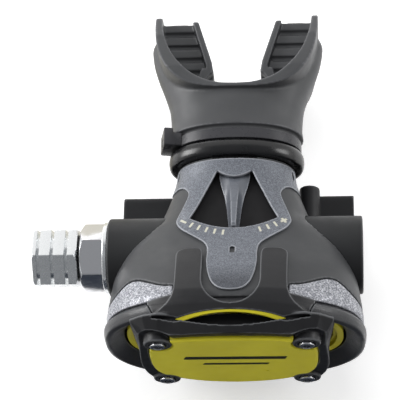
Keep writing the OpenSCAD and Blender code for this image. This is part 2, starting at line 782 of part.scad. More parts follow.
module nut_washer() {
    color("#cfd0d2") translate([nut_x1, 0, 0]) along_x() difference() {
        rotate_extrude() polygon([
            [0, 0], [washer_d / 2 - 0.4, 0], [washer_d / 2, 0.4],
            [washer_d / 2, washer_t - slide_fit], [0, washer_t - slide_fit]
        ]);
        translate([0, 0, -1]) cylinder(h = washer_t + 2, d = tube_d + 2 * slide_fit);
    }
}
seal_t = 0.9;
fin_x1 = nut_x0 - seal_t;
fin_x0 = fin_x1 - fin_len;
fin_core = tube_d + 1.7;
// Turn of the two hexagons about the barrel's axis
hex_turn = 22.5;
thread_depth = fin_x1 - tube_x0 + 0.2;
module connector_o_ring() {
    color("#1c1c1d") bar_x(fin_x1 + slide_fit, nut_x0 - slide_fit, tube_d + 2.1, tube_d + 2 * slide_fit);
}
module hose_connector() {
    color("#dfe0e2") difference() {
        union() {
            difference() {
                rotate([hex_turn, 0, 0]) hex_x(fin_x0, fin_x1, fin_af, 0, 1.2);
                for (i = [0 : 2]) bar_x(fin_x1 - fin_pitch * (i + 0.66) - fin_gap,
                    fin_x1 - fin_pitch * (i + 0.66), fin_af + 6);
            }
            bar_x(fin_x0, fin_x1 - 1, fin_core);
        }
        bar_x(fin_x1 - thread_depth, fin_x1 + 1, tube_d + 2 * slide_fit);
        bar_x(fin_x0 - 1, fin_x1, port_d);
    }
}

// ---- top cover and venturi lever -------------------------------------------

cover_clear = 0.1;
// Right half of the cover's outline, from the tongue's tip back to the neck
tongue_x = tongue_w / 2;
cover_half = [
    [1.5, -23.8], [tongue_x - 4.9, -23.3], [tongue_x - 2.3, -20.8], [tongue_x - 0.8, -16.6],
    [tongue_x, -12], [tongue_x, -6.2], [tongue_x + 0.4, -3.6], [10.2, -1.7], [13.4, 0.8], [17.6, 4],
    [19.3, 6.6], [19.4, 8.8], [17.9, 13.6], [16.1, 18.4], [16, 20.6], [17.6, 22.9], [19.6, 23.6],
    [30, 23.4], [30, neck_y - 1.2]
];
module cover_plan() {
    difference() {
        polygon(concat(cover_half, [
            for (i = [len(cover_half) - 1 : -1 : 0]) [-cover_half[i][0], cover_half[i][1]]
        ]));
        // window over the lever
        translate([0, pivot_y]) difference() {
            fan(pocket_r - 0.8, 0);
            circle(r = hub_r, $fn = 40);
        }
        // vent slot in the tongue
        translate([-0.8, -7.4]) square([1.6, 3]);
    }
}
module top_cover() {
    color("#80838a") intersection() {
        case_skin(cover_clear, cover_t + cover_clear, -24.4, neck_y - 1.4);
        translate([0, 0, 2.2]) linear_extrude(60) cover_plan();
    }
}
lever_w = 10.4;
// Seal groove in the lever's shaft
groove_z = -1.4;
groove_t = 0.7;
module lever_plan() {
    r = lever_reach;
    hull() {
        circle(r = hub_r - 0.1, $fn = 40);
        translate([0, -2.6]) square([lever_w, 2], center = true);
    }
    polygon([
        [-lever_w / 2, -2.6], [-lever_w / 2, -3.6], [-lever_w * 0.44, -6], [-3.4, -10], [-2.5, -15],
        [-2, -r + 3], [-1.7, -r + 1], [-1, -r], [1, -r], [1.7, -r + 1], [2, -r + 3], [2.5, -15],
        [3.4, -10], [lever_w * 0.44, -6], [lever_w / 2, -3.6], [lever_w / 2, -2.6]
    ]);
}
module venturi_lever() {
    color("#7c7f85") on_pivot() difference() {
        union() {
            translate([0, 0, move_gap]) linear_extrude(lever_t - move_gap) lever_plan();
            // central ridge that the thumb pushes
            intersection() {
                translate([0, 0, 0.6]) linear_extrude(6) polygon([
                    [-2.6, -5.6], [-1.2, -lever_reach + 1], [1.2, -lever_reach + 1], [2.6, -5.6]
                ]);
                across(10) polygon([
                    [-5.4, 1], [-5.4, 2.8], [-12, 3.2], [-lever_reach + 3, 4.4],
                    [-lever_reach + 1.6, 4.4], [-lever_reach + 0.4, 3], [-lever_reach + 0.4, 1]
                ]);
            }
        }
        translate([0, 0, -1]) cylinder(h = 3, d = 2.4, $fn = 6);
    }
}
module venturi_vane() {
    color("#2d2e30") on_pivot() {
        difference() {
            translate([0, 0, -6.4]) cylinder(h = 6.4 + move_gap - 0.02, d = shaft_d, $fn = 32);
            translate([0, 0, groove_z - groove_t / 2]) rotate_extrude()
                translate([shaft_d / 2 - groove_t, 0]) square([groove_t + 1, groove_t]);
        }
        translate([0, 0, move_gap - 0.1]) cylinder(h = 1.6, d = 2.3, $fn = 6);
        translate([-0.6, -11, -13]) cube([1.2, 12, 7]);
    }
}
module venturi_o_ring() {
    color("#1c1c1d") on_pivot() translate([0, 0, groove_z]) o_ring(shaft_d - groove_t, groove_t - 0.04);
}

// ---- mouthpiece end --------------------------------------------------------

bead_d = 6;
module neck_ring() {
    color("#1f2021") {
        y0 = neck_y + part_gap;
        s = [
            [0, 0], [0.06, 1.8], [0.2, 2.9], [0.5, 3.4], [0.8, 2.9], [0.94, 1.8], [1, 0]
        ];
        outer = [for (p = s) ring_at(y0 + p[0] * bead_d, neck_w / 2 - 1.4 + p[1],
            neck_h / 2 - 1.4 + p[1], 0, 2.2)];
        inner = [for (y = [y0 + bead_d, y0]) ring_at(y, spigot_w / 2 + slide_fit + 0.05,
            spigot_h / 2 + slide_fit + 0.05, 0, 2.4)];
        shell(concat(outer, inner));
    }
}
mouth_y0 = neck_y + part_gap + bead_d + part_gap;
groove_w = neck_w / 2 - 0.2;
groove_h = neck_h / 2 + 0.2;
groove_len = 5.4;
strap_w = 3.8;
strap_t = 1.2;
mouth_a = mouth_w / 2;
cheek_y = mouth_y - 12;
// Inner curve of the lip guard: an oval about a point at the tips
lip_a = mouth_a - 3.7;
lip_b = 36;
lip_y = mouth_y + 3;
guard_t = 2.2;
module mouth_plan(grow, rear = 0, n = 2.4) {
    translate([0, lip_y]) polygon(oval(lip_a + grow, lip_b + grow + rear, n, 72));
}
module mouthpiece() {
    color("#58585c") {
        difference() {
            loft([
                ring_at(mouth_y0, groove_w, groove_h, 0, 2.2),
                ring_at(mouth_y0 + groove_len, groove_w, groove_h, 0, 2.2),
                ring_at(mouth_y0 + groove_len + 0.2, groove_w + 1.9, groove_h + 1.6, 0, 2.2),
                ring_at(mouth_y0 + 9, groove_w + 1.5, groove_h + 1.2, 0, 2.2),
                ring_at(56, groove_w + 2.1, groove_h + 0.4, 0, 2.2),
                ring_at(63, groove_w + 4.1, groove_h - 0.4, 0, 2.2),
                ring_at(70, mouth_a - 2.4, groove_h - 1.4, 0, 2.2),
                ring_at(76, mouth_a - 0.9, groove_h - 2.6, 0, 2.1),
                ring_at(cheek_y, mouth_a, groove_h - 4, 0, 2),
                ring_at(cheek_y + 4, mouth_a - 1.4, groove_h - 6, 0, 2),
                ring_at(cheek_y + 7, mouth_a - 3.6, groove_h - 8, 0, 2)
            ]);
            linear_extrude(80, center = true) mouth_plan(0.6);
            mouth_bore();
        }
        difference() {
            intersection() {
                linear_extrude(60, center = true) difference() {
                    mouth_plan(guard_t, -0.8, 3.3);
                    mouth_plan(0);
                }
                across(80) polygon([
                    [lip_y - lip_b - 4, -16], [lip_y - lip_b + 8, -16.4], [mouth_y - 12, -13.4],
                    [mouth_y - 3, -9], [mouth_y, -4], [mouth_y, 4], [mouth_y - 3, 9],
                    [mouth_y - 12, 13.4], [lip_y - lip_b + 8, 16.4], [lip_y - lip_b - 4, 16]
                ]);
            }
            mouth_bore();
        }
        mirror_x() bite_tab();
    }
}
module mouth_bore() {
    slab(mouth_y0 - 1, neck_y + spigot_len + 0.4)
        polygon(oval(spigot_w / 2 + slide_fit, spigot_h / 2 + slide_fit, 2.4));
    slab(neck_y + spigot_len, 74) polygon(oval(spigot_w / 2 - 2.2, spigot_h / 2 - 2, 2.4));
}
module bite_plan() {
    intersection() {
        mouth_plan(0.4);
        polygon([
            [9, 68.6], [8.3, 71], [9, 75], [14.2, mouth_y - 2.4], [18, mouth_y - 1.6],
            [24, mouth_y - 1.6], [30, mouth_y - 2.4], [30, 60], [12, 66]
        ]);
    }
}
module bite_tab() {
    ridge_pitch = 5.2;
    translate([0, 0, -1.6]) linear_extrude(3.2) bite_plan();
    // ridges that the teeth grip, on both faces
    intersection() {
        translate([0, 0, -3]) linear_extrude(6) bite_plan();
        for (i = [0 : 3]) translate([0, mouth_y - 5.6 - i * ridge_pitch, -3]) cube([40, 3.2, 6]);
    }
    // wall on the tongue's side
    translate([0, 0, -5.6]) linear_extrude(11.2) polygon([
        [8.3, 70.4], [9, 75], [14, mouth_y - 2.5], [16.2, mouth_y - 2.5], [11.4, 74.6], [10.6, 70.4]
    ]);
    // web to the lip guard
    translate([0, 0, -5.6]) linear_extrude(11.2) intersection() {
        mouth_plan(0.6);
        polygon([[8.3, 71.6], [11.2, 67.6], [12.4, 60], [17, 60], [12.6, 72.4]]);
    }
}
tie_y = mouth_y0 + 0.2;
head_w = 5;
module cable_tie() {
    color("#3f3f42") {
        difference() {
            union() {
                slab(tie_y, tie_y + strap_w)
                    polygon(oval(groove_w + slide_fit + strap_t, groove_h + slide_fit + strap_t, 2.2));
                // head with its slot
                translate([-groove_w - 5.4, tie_y, 1]) rotate([0, 12, 0]) difference() {
                    union() {
                        cube([3.2, head_w + 1.6, 10]);
                        cube([6.4, head_w, 10]);
                    }
                    translate([-1, 1.4, 3.6]) cube([3, head_w - 2.4, 2.4]);
                }
            }
            slab(tie_y - 1, tie_y + head_w + 1)
                polygon(oval(groove_w + slide_fit, groove_h + slide_fit, 2.2));
        }
    }
}

// ---- exhaust ---------------------------------------------------------------

module exhaust_valve() {
    color("#6a6b6e") translate([0, flap_y, flap_z]) {
        translate([0, 0, -1]) cylinder(h = 0.9, d = flap_d);
        translate([0, 0, -1]) cylinder(h = 4, d = 2.8, $fn = 24);
    }
}
tee_top = -12;
tee_r = 6;
tee_edge = 2.4;
module tee_outline(g) {
    hull() {
        for (y = [tee_y0 + tee_r, tee_y1 - tee_r]) translate([y, -axis_h + tee_r]) circle(r = tee_r + g);
        for (y = [tee_y0 + tee_edge, tee_y1 - tee_edge])
            translate([y, tee_top - tee_edge]) circle(r = tee_edge + g, $fn = 24);
    }
}
// Stub beside the neck, with the gap that parts it from the right arm
stub_x = 25.4;
stub_r = 3.65;
module stub() {
    translate([stub_x, 0, tee_top + stub_r - 0.6]) along_y() rotate_extrude($fn = 32) polygon([
        [0, 12], [stub_r, 12], [stub_r, tee_y1 + 0.2], [stub_r - 0.5, tee_y1 + 0.7],
        [0, tee_y1 + 0.7]
    ]);
}
module exhaust_tee() {
    color("#2c2d2f") difference() {
        union() {
            across(tee_w) tee_outline(0);
            stub();
        }
        translate([stub_x + stub_r, 0, tee_top - 4]) linear_extrude(4.1)
            polygon([[0.4, tee_y1 - 2.8], [0, tee_y1 + 1], [0.9, tee_y1 + 1]]);
        across(tee_w + 2) tee_outline(-tee_wall);
        case_form(part_gap, -rim_y, neck_y + 4);
        translate([0, flap_y, flap_z - 1.6]) cylinder(h = 20, r = flap_d / 2 + 1.5 + part_gap);
        at_barrel() bar_x(-60, 60, barrel_d + 2 * part_gap);
    }
}

// ---- the parts -------------------------------------------------------------

at_axis() case();
at_axis() at_barrel() left_barrel();
at_axis() at_barrel() right_barrel();
at_axis() at_barrel() end_cap();
at_axis() side_trims();
at_axis() front_ring();
at_axis() purge_cover();
at_axis() front_bridge();
at_axis() bridge_screws();
at_axis() purge_button();
at_axis() purge_spring();
at_axis() top_cover();
at_axis() venturi_lever();
at_axis() venturi_vane();
at_axis() venturi_o_ring();
at_axis() neck_ring();
at_axis() mouthpiece();
at_axis() cable_tie();
at_axis() diaphragm();
at_axis() diaphragm_disc();
at_axis() at_barrel() demand_lever();
at_axis() at_barrel() lever_pin();
at_axis() at_barrel() valve_tube();
at_axis() at_barrel() orifice();
at_axis() at_barrel() orifice_o_ring();
at_axis() at_barrel() poppet();
at_axis() at_barrel() poppet_seat();
at_axis() at_barrel() poppet_spring();
at_axis() at_barrel() spring_plug();
at_axis() at_barrel() case_nut();
at_axis() at_barrel() nut_washer();
at_axis() at_barrel() hose_connector();
at_axis() at_barrel() connector_o_ring();
at_axis() exhaust_valve();
at_axis() exhaust_tee();
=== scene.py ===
"""Looks of a diving regulator's second stage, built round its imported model.

Everything is drawn in millimetres about a point on the mid plane at the height of the valve barrel, with
+Y towards the mouthpiece and +Z up, and is turned into metres of the row frame when a piece is made.
"""
import math

import bmesh
import bpy
import numpy as np
from mathutils import Matrix, Vector


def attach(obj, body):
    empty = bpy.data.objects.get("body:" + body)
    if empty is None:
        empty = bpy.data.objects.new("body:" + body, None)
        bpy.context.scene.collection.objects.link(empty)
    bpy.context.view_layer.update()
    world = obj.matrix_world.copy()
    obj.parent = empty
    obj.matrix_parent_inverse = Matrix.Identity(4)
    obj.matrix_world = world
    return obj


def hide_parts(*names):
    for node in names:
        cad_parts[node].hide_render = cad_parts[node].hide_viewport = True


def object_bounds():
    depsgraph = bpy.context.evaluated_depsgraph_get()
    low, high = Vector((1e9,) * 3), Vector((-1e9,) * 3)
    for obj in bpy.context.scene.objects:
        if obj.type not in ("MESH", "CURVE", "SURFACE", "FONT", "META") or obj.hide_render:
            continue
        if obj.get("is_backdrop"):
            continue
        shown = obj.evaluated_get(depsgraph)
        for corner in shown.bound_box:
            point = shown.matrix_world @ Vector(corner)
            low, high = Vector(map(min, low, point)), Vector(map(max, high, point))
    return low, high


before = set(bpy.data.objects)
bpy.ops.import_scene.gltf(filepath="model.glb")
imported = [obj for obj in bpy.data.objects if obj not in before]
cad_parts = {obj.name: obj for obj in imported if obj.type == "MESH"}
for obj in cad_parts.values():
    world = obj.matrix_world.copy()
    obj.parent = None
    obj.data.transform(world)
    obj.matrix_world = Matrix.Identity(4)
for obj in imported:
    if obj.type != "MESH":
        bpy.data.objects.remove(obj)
cad_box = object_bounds()

MM = 0.001
BODY = "regulator"
# The drawing's origin in the row frame, whose own origin is the middle of the face that it rests on
CENTRE = Vector((0, -9 * MM, 35 * MM))
SCENE = bpy.context.scene

# ---- camera ----

FRAME_PX = 400
SENSOR_MM = 36
# Distance from the drawing's origin to the camera, and the size at which it is seen there
CAMERA_MM = 662
PX_PER_MM = 2.9
# Where the drawing's origin lies in the picture
CENTRE_PX = (236, 260.5)
# Direction to the camera: 67 degrees above the front, a little from the right
TOWARDS_CAMERA = Vector((0.051, -0.380, 0.923))
PICTURE_UP = Vector((0.0124, 0.924, 0.38))


def add_object(name, data):
    o = bpy.data.objects.new(name, data)
    SCENE.collection.objects.link(o)
    return o


def add_camera():
    """A long lens without shift, turned so that the drawing's origin lands on its pixel."""
    back = TOWARDS_CAMERA.normalized()
    up = (PICTURE_UP - PICTURE_UP.dot(back) * back).normalized()
    right = up.cross(back)
    focal_px = PX_PER_MM * CAMERA_MM
    aside = (CENTRE_PX[0] - FRAME_PX / 2) / focal_px
    above = (FRAME_PX / 2 - CENTRE_PX[1]) / focal_px
    at = CENTRE + back * CAMERA_MM * MM
    back = (back + aside * right + above * up).normalized()
    up = (up - up.dot(back) * back).normalized()
    right = up.cross(back)
    camera = add_object("camera", bpy.data.cameras.new("camera"))
    camera.matrix_world = Matrix.Translation(at) @ Matrix((right, up, back)).transposed().to_4x4()
    camera.data.sensor_width = SENSOR_MM
    camera.data.lens = focal_px / FRAME_PX * SENSOR_MM
    camera.data.clip_start = 0.01
    camera.data.clip_end = 20
    SCENE.camera = camera


add_camera()
SCENE.view_settings.view_transform = "Standard"

# ---- outlines and solids, in millimetres ----


def signed_pow(v, p):
    return np.sign(v) * np.abs(v) ** p


def oval(a, b, n=2.0, count=160):
    """Superellipse with semi-axes a and b and squareness n."""
    t = np.linspace(0, 2 * np.pi, count, endpoint=False)
    return np.stack([a * signed_pow(np.cos(t), 2 / n), b * signed_pow(np.sin(t), 2 / n)], 1)


def rounded(points, radii, steps=6):
    """Polygon whose corners are replaced by arcs; radii is one number or one for each corner."""
    points = [np.array(p, float) for p in points]
    if not isinstance(radii, (list, tuple)):
        radii = [radii] * len(points)
    out = []
    for i, p in enumerate(points):
        a, b = points[i - 1] - p, points[(i + 1) % len(points)] - p
        la, lb = np.linalg.norm(a), np.linalg.norm(b)
        a, b = a / la, b / lb
        half = math.acos(max(-1, min(1, float(a @ b)))) / 2
        reach = min(radii[i] / max(math.tan(half), 1e-6), la * 0.49, lb * 0.49)
        if radii[i] <= 0 or half > 1.54:
            out.append(p)
            continue
        for k in range(steps + 1):
            s = k / steps
            out.append((1 - s) ** 2 * (p + a * reach) + 2 * s * (1 - s) * p + s**2 * (p + b * reach))
    return np.array(out)


def mirrored(points):
    """A closed outline from its right half, which runs from the Y axis back to the Y axis."""
    return points + [(-x, y) for x, y in reversed(points) if x > 1e-6]


def grown(points, distance):
    """Outline moved outwards by a distance."""
    p = np.asarray(points, float)
    ahead = np.roll(p, -1, 0) - p
    ahead /= np.maximum(np.linalg.norm(ahead, axis=1), 1e-9)[:, None]
    normal = np.stack([ahead[:, 1], -ahead[:, 0]], 1)
    normal = normal + np.roll(normal, 1, 0)
    normal /= np.maximum(np.linalg.norm(normal, axis=1), 1e-9)[:, None]
    x, y = p.T
    turn = np.sign(np.sum(x * np.roll(y, -1) - np.roll(x, -1) * y))
    return p + normal * distance * turn


def skin(rings, closed=False):
    """Solid through rings of equal length. A closed one returns to its first ring."""
    n, m = len(rings[0]), len(rings)
    faces = []
    for j in range(m if closed else m - 1):
        k = (j + 1) % m
        faces += [(j * n + i, k * n + i, k * n + (i + 1) % n, j * n + (i + 1) % n) for i in range(n)]
    if not closed:
        faces += [tuple(range(n)), tuple(range((m - 1) * n, m * n))]
    mesh = bpy.data.meshes.new("solid")
    mesh.from_pydata(np.concatenate(rings).astype(float).tolist(), [], faces)
    b = bmesh.new()
    b.from_mesh(mesh)
    bmesh.ops.recalc_face_normals(b, faces=b.faces)
    b.to_mesh(mesh)
    b.free()
    return mesh


def ring_at(outline, h, along):
    """Outline drawn in two axes, in their order, and set at h along the third."""
    o = np.asarray(outline, float)
    axis = "xyz".index(along)
    ring = np.full((len(o), 3), float(h))
    ring[:, [k for k in range(3) if k != axis]] = o
    return ring


def on_y(outline, y, rise=0.0):
    """Outline drawn in X and Z, set at y and raised."""
    return ring_at(outline, y, "y") + np.array([0, 0, rise])


def prism(outline, low, high, along="z"):
    """Outline extruded along an axis."""
    return skin([ring_at(outline, h, along) for h in (low, high)])


def turned(profile, along="x", closed=False, steps=96, at=(0, 0, 0)):
    """Solid of revolution from a profile of (radius, position) points."""
    t = np.linspace(0, 2 * np.pi, steps, endpoint=False)
    circle = np.stack([np.cos(t), np.sin(t)], 1)
    return skin([ring_at(r * circle, h, along) + np.array(at, float) for r, h in profile], closed)


def cylinder(r, low, high, along="x", **settings):
    return turned([(r, low), (r, high)], along, **settings)


def o_ring(mean_r, cord_r, centre, along="x", steps=64):
    """Round seal about an axis through centre."""
    return turned(oval(cord_r, cord_r, 2, 16) + np.array([mean_r, 0]), along, True, steps, centre)


def block(low, high, radius=0.0):
    """Box between two corners, its edges along Z rounded."""
    (x0, y0, z0), (x1, y1, z1) = low, high
    return prism(rounded([(x0, y0), (x1, y0), (x1, y1), (x0, y1)], radius), z0, z1)


def moved(mesh, matrix):
    copy = mesh.copy()
    copy.transform(matrix)
    if matrix.determinant() < 0:
        copy.flip_normals()
    return copy


def flipped(mesh):
    """The mesh mirrored from +X to -X."""
    return moved(mesh, Matrix.Scale(-1, 4, (1, 0, 0)))


def both_sides(mesh):
    return [mesh, flipped(mesh)]


def with_modifiers(mesh, *steps):
    """A copy of the mesh after Blender modifiers, each given as (type, settings)."""
    work = add_object("work", mesh)
    tools = []
    for kind, settings in steps:
        m = work.modifiers.new(kind, kind)
        for key, value in settings.items():
            if key == "object":
                value = add_object("tool", value)
                tools.append(value)
            setattr(m, key, value)
    graph = bpy.context.evaluated_depsgraph_get()
    result = bpy.data.meshes.new_from_object(work.evaluated_get(graph))
    for o in tools + [work]:
        bpy.data.objects.remove(o)
    return result


def combined(mesh, others, operation):
    steps = [("BOOLEAN", {"operation": operation, "solver": "MANIFOLD", "object": o}) for o in others]
    return with_modifiers(mesh, *steps)


def join(mesh, *others):
    return combined(mesh, others, "UNION")


def cut(mesh, *others):
    return combined(mesh, others, "DIFFERENCE")


def common(mesh, *others):
    return combined(mesh, others, "INTERSECT")


def moulded(mesh, voxel, passes, keep):
    """Rounds every edge as a moulding's are: a fine remesh, smoothed, then thinned out and smoothed again."""
    return with_modifiers(mesh, ("REMESH", {"mode": "VOXEL", "voxel_size": voxel}),
                          ("SMOOTH", {"iterations": passes, "factor": 0.5}),
                          ("DECIMATE", {"ratio": keep}), ("SMOOTH", {"iterations": 2, "factor": 0.35}))


def bevelled(mesh, width, segments=3):
    limit = {"limit_method": "ANGLE", "angle_limit": math.radians(30), "use_clamp_overlap": True}
    return with_modifiers(mesh, ("BEVEL", {"width": width, "segments": segments, **limit}))


# ---- materials ----

# Patterns are scaled in repeats per millimetre. Real moulded grain and metal flakes of 0.05 to 0.1 mm are finer
# than a pixel, so they are drawn at 0.25 to 0.7 mm, as coarse as they need to show.
# Changes of shade over 17 mm and of gloss over 4 mm on plastic, of polish over 2 mm on metal, and turning marks
SHADE_PER_MM, GLOSS_PER_MM, POLISH_PER_MM, TURNING_PER_MM = 0.06, 0.25, 0.5, 2.5
# Outward bends, as 1 / radius in mm, at which the painted edge highlight begins and is brightest, and how much
# it pales the colour
HIGHLIGHT_BENDS, HIGHLIGHT_SHARE = (0.26, 0.9), 0.6
# Where the painted shade on the cover's coat begins and is darkest, in millimetres of the row frame
TIP_SHADE_Y = (-22.0, -29.0)


def linear(code):
    """sRGB hex colour as linear RGBA."""
    parts = [int(code[i : i + 2], 16) / 255 for i in (1, 3, 5)]
    return [c / 12.92 if c <= 0.04045 else ((c + 0.055) / 1.055) ** 2.4 for c in parts] + [1.0]


def node(tree, kind, values=None, links=None, stops=(), **settings):
    """Adds a shader node with its settings, socket values, links and (position, colour or grey level) stops."""
    n = tree.nodes.new(kind)
    for key, value in settings.items():
        setattr(n, key, value)
    for key, value in (values or {}).items():
        n.inputs[key].default_value = value
    for key, source in (links or {}).items():
        tree.links.new(source, n.inputs[key])
    for _ in stops[2:]:
        n.color_ramp.elements.new(0.5)
    for i, (position, value) in enumerate(stops):
        n.color_ramp.elements[i].position = position
        n.color_ramp.elements[i].color = linear(value) if isinstance(value, str) else (value, value, value, 1)
    return n


def shader_of(m):
    return m.node_tree.nodes["Principled BSDF"]


def finish(name, colour, roughness, metallic=0.0, **values):
    """New material with its constant values set on the shader itself."""
    m = bpy.data.materials.new(name)
    m.use_nodes = True
    values = {"Base Color": linear(colour), "Roughness": roughness, "Metallic": metallic, **values}
    for key, value in values.items():
        shader_of(m).inputs[key.replace("_", " ")].default_value = value
    m.diffuse_color = linear(colour)
    return m


def use(m, socket, source):
    m.node_tree.links.new(source, shader_of(m).inputs[socket])


def in_mm(tree):
    """Place on the piece in millimetres."""
    at = node(tree, "ShaderNodeTexCoord").outputs["Object"]
    scale = node(tree, "ShaderNodeVectorMath", {1: (1000, 1000, 1000)}, {0: at}, operation="MULTIPLY")
    return scale.outputs[0]


def uneven(tree, at, per_mm, detail, stops=()):
    """Cloudy pattern; where there are stops, its values run through them."""
    cloud = node(tree, "ShaderNodeTexNoise", {"Scale": per_mm, "Detail": detail}, {"Vector": at}).outputs["Fac"]
    if not stops:
        return cloud
    return node(tree, "ShaderNodeValToRGB", links={"Fac": cloud}, stops=stops).outputs["Color"]


def with_relief(m, height, strength, depth_mm):
    """Tilts the surface by a height pattern."""
    values = {"Strength": strength, "Distance": depth_mm * MM}
    use(m, "Normal", node(m.node_tree, "ShaderNodeBump", values, {"Height": height}).outputs["Normal"])


def with_painted_edge_highlight(tree, colour, edge):
    """Colour made paler along outward edges: a painted highlight for the thin line of light that rounded edges
    catch.
    """
    bend = node(tree, "ShaderNodeAttribute", attribute_name="bend").outputs["Fac"]
    values = {"From Min": HIGHLIGHT_BENDS[0], "From Max": HIGHLIGHT_BENDS[1], "To Max": HIGHLIGHT_SHARE}
    edge_highlight = node(tree, "ShaderNodeMapRange", values, {"Value": bend}).outputs[0]
    links = {"Factor": edge_highlight, 6: colour}
    return node(tree, "ShaderNodeMix", {7: linear(edge)}, links, data_type="RGBA").outputs[2]


def moulded_plastic(name, colour, deeper, roughness, grain=3.0, relief=0.05, coat=0.0, gloss=0.4, edge=None):
    """Plastic with a fine moulded grain, slow changes of shade and a little uneven gloss."""
    m = finish(name, colour, roughness, Coat_Weight=coat, Coat_Roughness=0.2, Specular_IOR_Level=gloss)
    tree = m.node_tree
    at = in_mm(tree)
    shade = uneven(tree, at, SHADE_PER_MM, 3, [(0.35, deeper), (0.65, colour)])
    # The edge colour, when given, is a painted highlight along outward edges
    use(m, "Base Color", with_painted_edge_highlight(tree, shade, edge) if edge else shade)
    use(m, "Roughness", uneven(tree, at, GLOSS_PER_MM, 4, [(0.3, roughness - 0.06), (0.7, roughness + 0.06)]))
    with_relief(m, uneven(tree, at, grain, 3), 0.5, relief)
    return m


def speckled_paint(name, colour, low, high, roughness, flakes, metallic, edge=None, tip_shade=None):
    """Paint with metal flakes: lighter and darker specks that also tilt the surface."""
    m = finish(name, colour, roughness, metallic, Coat_Weight=0.1, Coat_Roughness=0.2)
    tree = m.node_tree
    at = in_mm(tree)
    cells = node(tree, "ShaderNodeTexVoronoi", {"Scale": flakes}, {"Vector": at}).outputs["Color"]
    speck = node(tree, "ShaderNodeSeparateColor", links={"Color": cells}).outputs[0]
    stops = [(0.05, low), (0.5, colour), (0.95, high)]
    shade = node(tree, "ShaderNodeValToRGB", links={"Fac": speck}, stops=stops).outputs["Color"]
    if tip_shade:
        # Painted shade: the coat is darkened towards the front end, where the tongue slopes away from the light
        y = node(tree, "ShaderNodeSeparateXYZ", links={"Vector": at}).outputs["Y"]
        share = node(tree, "ShaderNodeMapRange", {"From Min": TIP_SHADE_Y[0], "From Max": TIP_SHADE_Y[1]}, {"Value": y})
        shade = node(tree, "ShaderNodeMix", {7: linear(tip_shade)}, {"Factor": share.outputs[0], 6: shade},
                     data_type="RGBA", blend_type="MULTIPLY").outputs[2]
    # The edge colour, when given, is a painted highlight along outward edges
    use(m, "Base Color", with_painted_edge_highlight(tree, shade, edge) if edge else shade)
    stops = [(0.2, roughness + 0.12), (0.8, roughness - 0.1)]
    gloss = node(tree, "ShaderNodeValToRGB", links={"Fac": speck}, stops=stops)
    use(m, "Roughness", gloss.outputs["Color"])
    with_relief(m, speck, 0.35, 0.06)
    return m


def polished_metal(name, colour, roughness, wear):
    """Metal with faint turning marks and an uneven polish."""
    m = finish(name, colour, roughness, 1.0)
    tree = m.node_tree
    at = in_mm(tree)
    use(m, "Roughness", uneven(tree, at, POLISH_PER_MM, 5, [(0.35, roughness), (0.7, roughness + wear)]))
    with_relief(m, uneven(tree, at, TURNING_PER_MM, 2), 0.2, 0.02)
    return m


# Case: dark grey glass-filled plastic, matt with a broad soft sheen that shows its form, and a painted
# highlight along its outward edges
CASE = moulded_plastic("grey_case_plastic", "#47484a", "#424345", 0.48, gloss=0.42, edge="#6c6e70")
# Window floor and the floor under the bridge's slot: painted shade, the same plastic in black, which hardly
# shines
PAINTED_SHADE = moulded_plastic("painted_shade_black_plastic", "#1d1c1e", "#19191a", 0.6, gloss=0.25)
# Sleeves and plug: nearly black moulded plastic, with a pale painted highlight along outward edges
SLEEVE = moulded_plastic("black_sleeve_plastic", "#1d1e1f", "#19191b", 0.5, gloss=0.35, edge="#5a5c5e")
# Tee and stub: the same plastic, with a fainter painted edge highlight
TEE = moulded_plastic("black_tee_plastic", "#1d1e20", "#19191b", 0.5, gloss=0.35, edge="#4c4e50")
# Bridge: satin black plastic with a thin painted highlight along its edges
BRIDGE = moulded_plastic("satin_black_plastic", "#262628", "#222224", 0.42, gloss=0.38, edge="#77797c")
# Ring: the same plastic with a coarser grain that glitters where light grazes it, and the same painted edge
# highlight
RING = moulded_plastic("grained_black_plastic", "#323336", "#2c2c2f", 0.34, grain=2.0, relief=0.2, gloss=0.5,
                       edge="#77797c")
# Trims: silver paint with coarse glitter
TRIM = speckled_paint("glitter_silver_paint", "#9b9da4", "#787a81", "#d2d3d9", 0.5, 2.6, 0.25)
# Cover: grey metallic paint with fine specks, with a painted highlight along its edges and painted shade
# darkening its front end
COVER = speckled_paint("grey_metallic_paint", "#6f737b", "#5e626a", "#868a92", 0.42, 4.0, 0.2, edge="#b9bcc2",
                       tip_shade="#b4b4b6")
# Lever: smooth grey plastic under a clear coat, so its ridge carries a sharp bright line, with a painted
# highlight along its edges
LEVER = moulded_plastic("grey_lever_plastic", "#6d7179", "#656971", 0.26, relief=0.01, coat=0.4, edge="#a6a9b0")
# Purge button: yellow moulded plastic with some gloss
YELLOW = moulded_plastic("yellow_gloss_plastic", "#e4da2c", "#dcd12a", 0.34, grain=2.0, relief=0.02, coat=0.2)
# Inner cover: the same plastic without the gloss
INNER = moulded_plastic("yellow_inner_plastic", "#ddd22e", "#cfc42a", 0.4, grain=2.0, relief=0.02)
# Seals: moulded black rubber, smooth enough to look wet
RUBBER = moulded_plastic("glossy_black_rubber", "#111113", "#0e0e10", 0.28, grain=1.5, relief=0.03, coat=0.3)
# Mouthpiece: moulded grey silicone with a silky sheen and a painted highlight along its outward edges
MOUTH = moulded_plastic("grey_silicone", "#4b4c4e", "#454648", 0.44, grain=2.0, gloss=0.5, edge="#6b6c70")
# Strap: moulded black nylon, with a faint painted highlight on its edges
NYLON = moulded_plastic("black_nylon", "#232325", "#1f1f21", 0.3, relief=0.02, edge="#4a4a4e")
# Membrane and exhaust valve: moulded silicone, milky grey and dull
MEMBRANE = moulded_plastic("clear_grey_silicone", "#6e7072", "#646668", 0.45)
# Nut and tube: bright chrome plate, a mirror that shows the room in bands
CHROME = polished_metal("bright_chrome", "#e3e3e5", 0.08, 0.1)
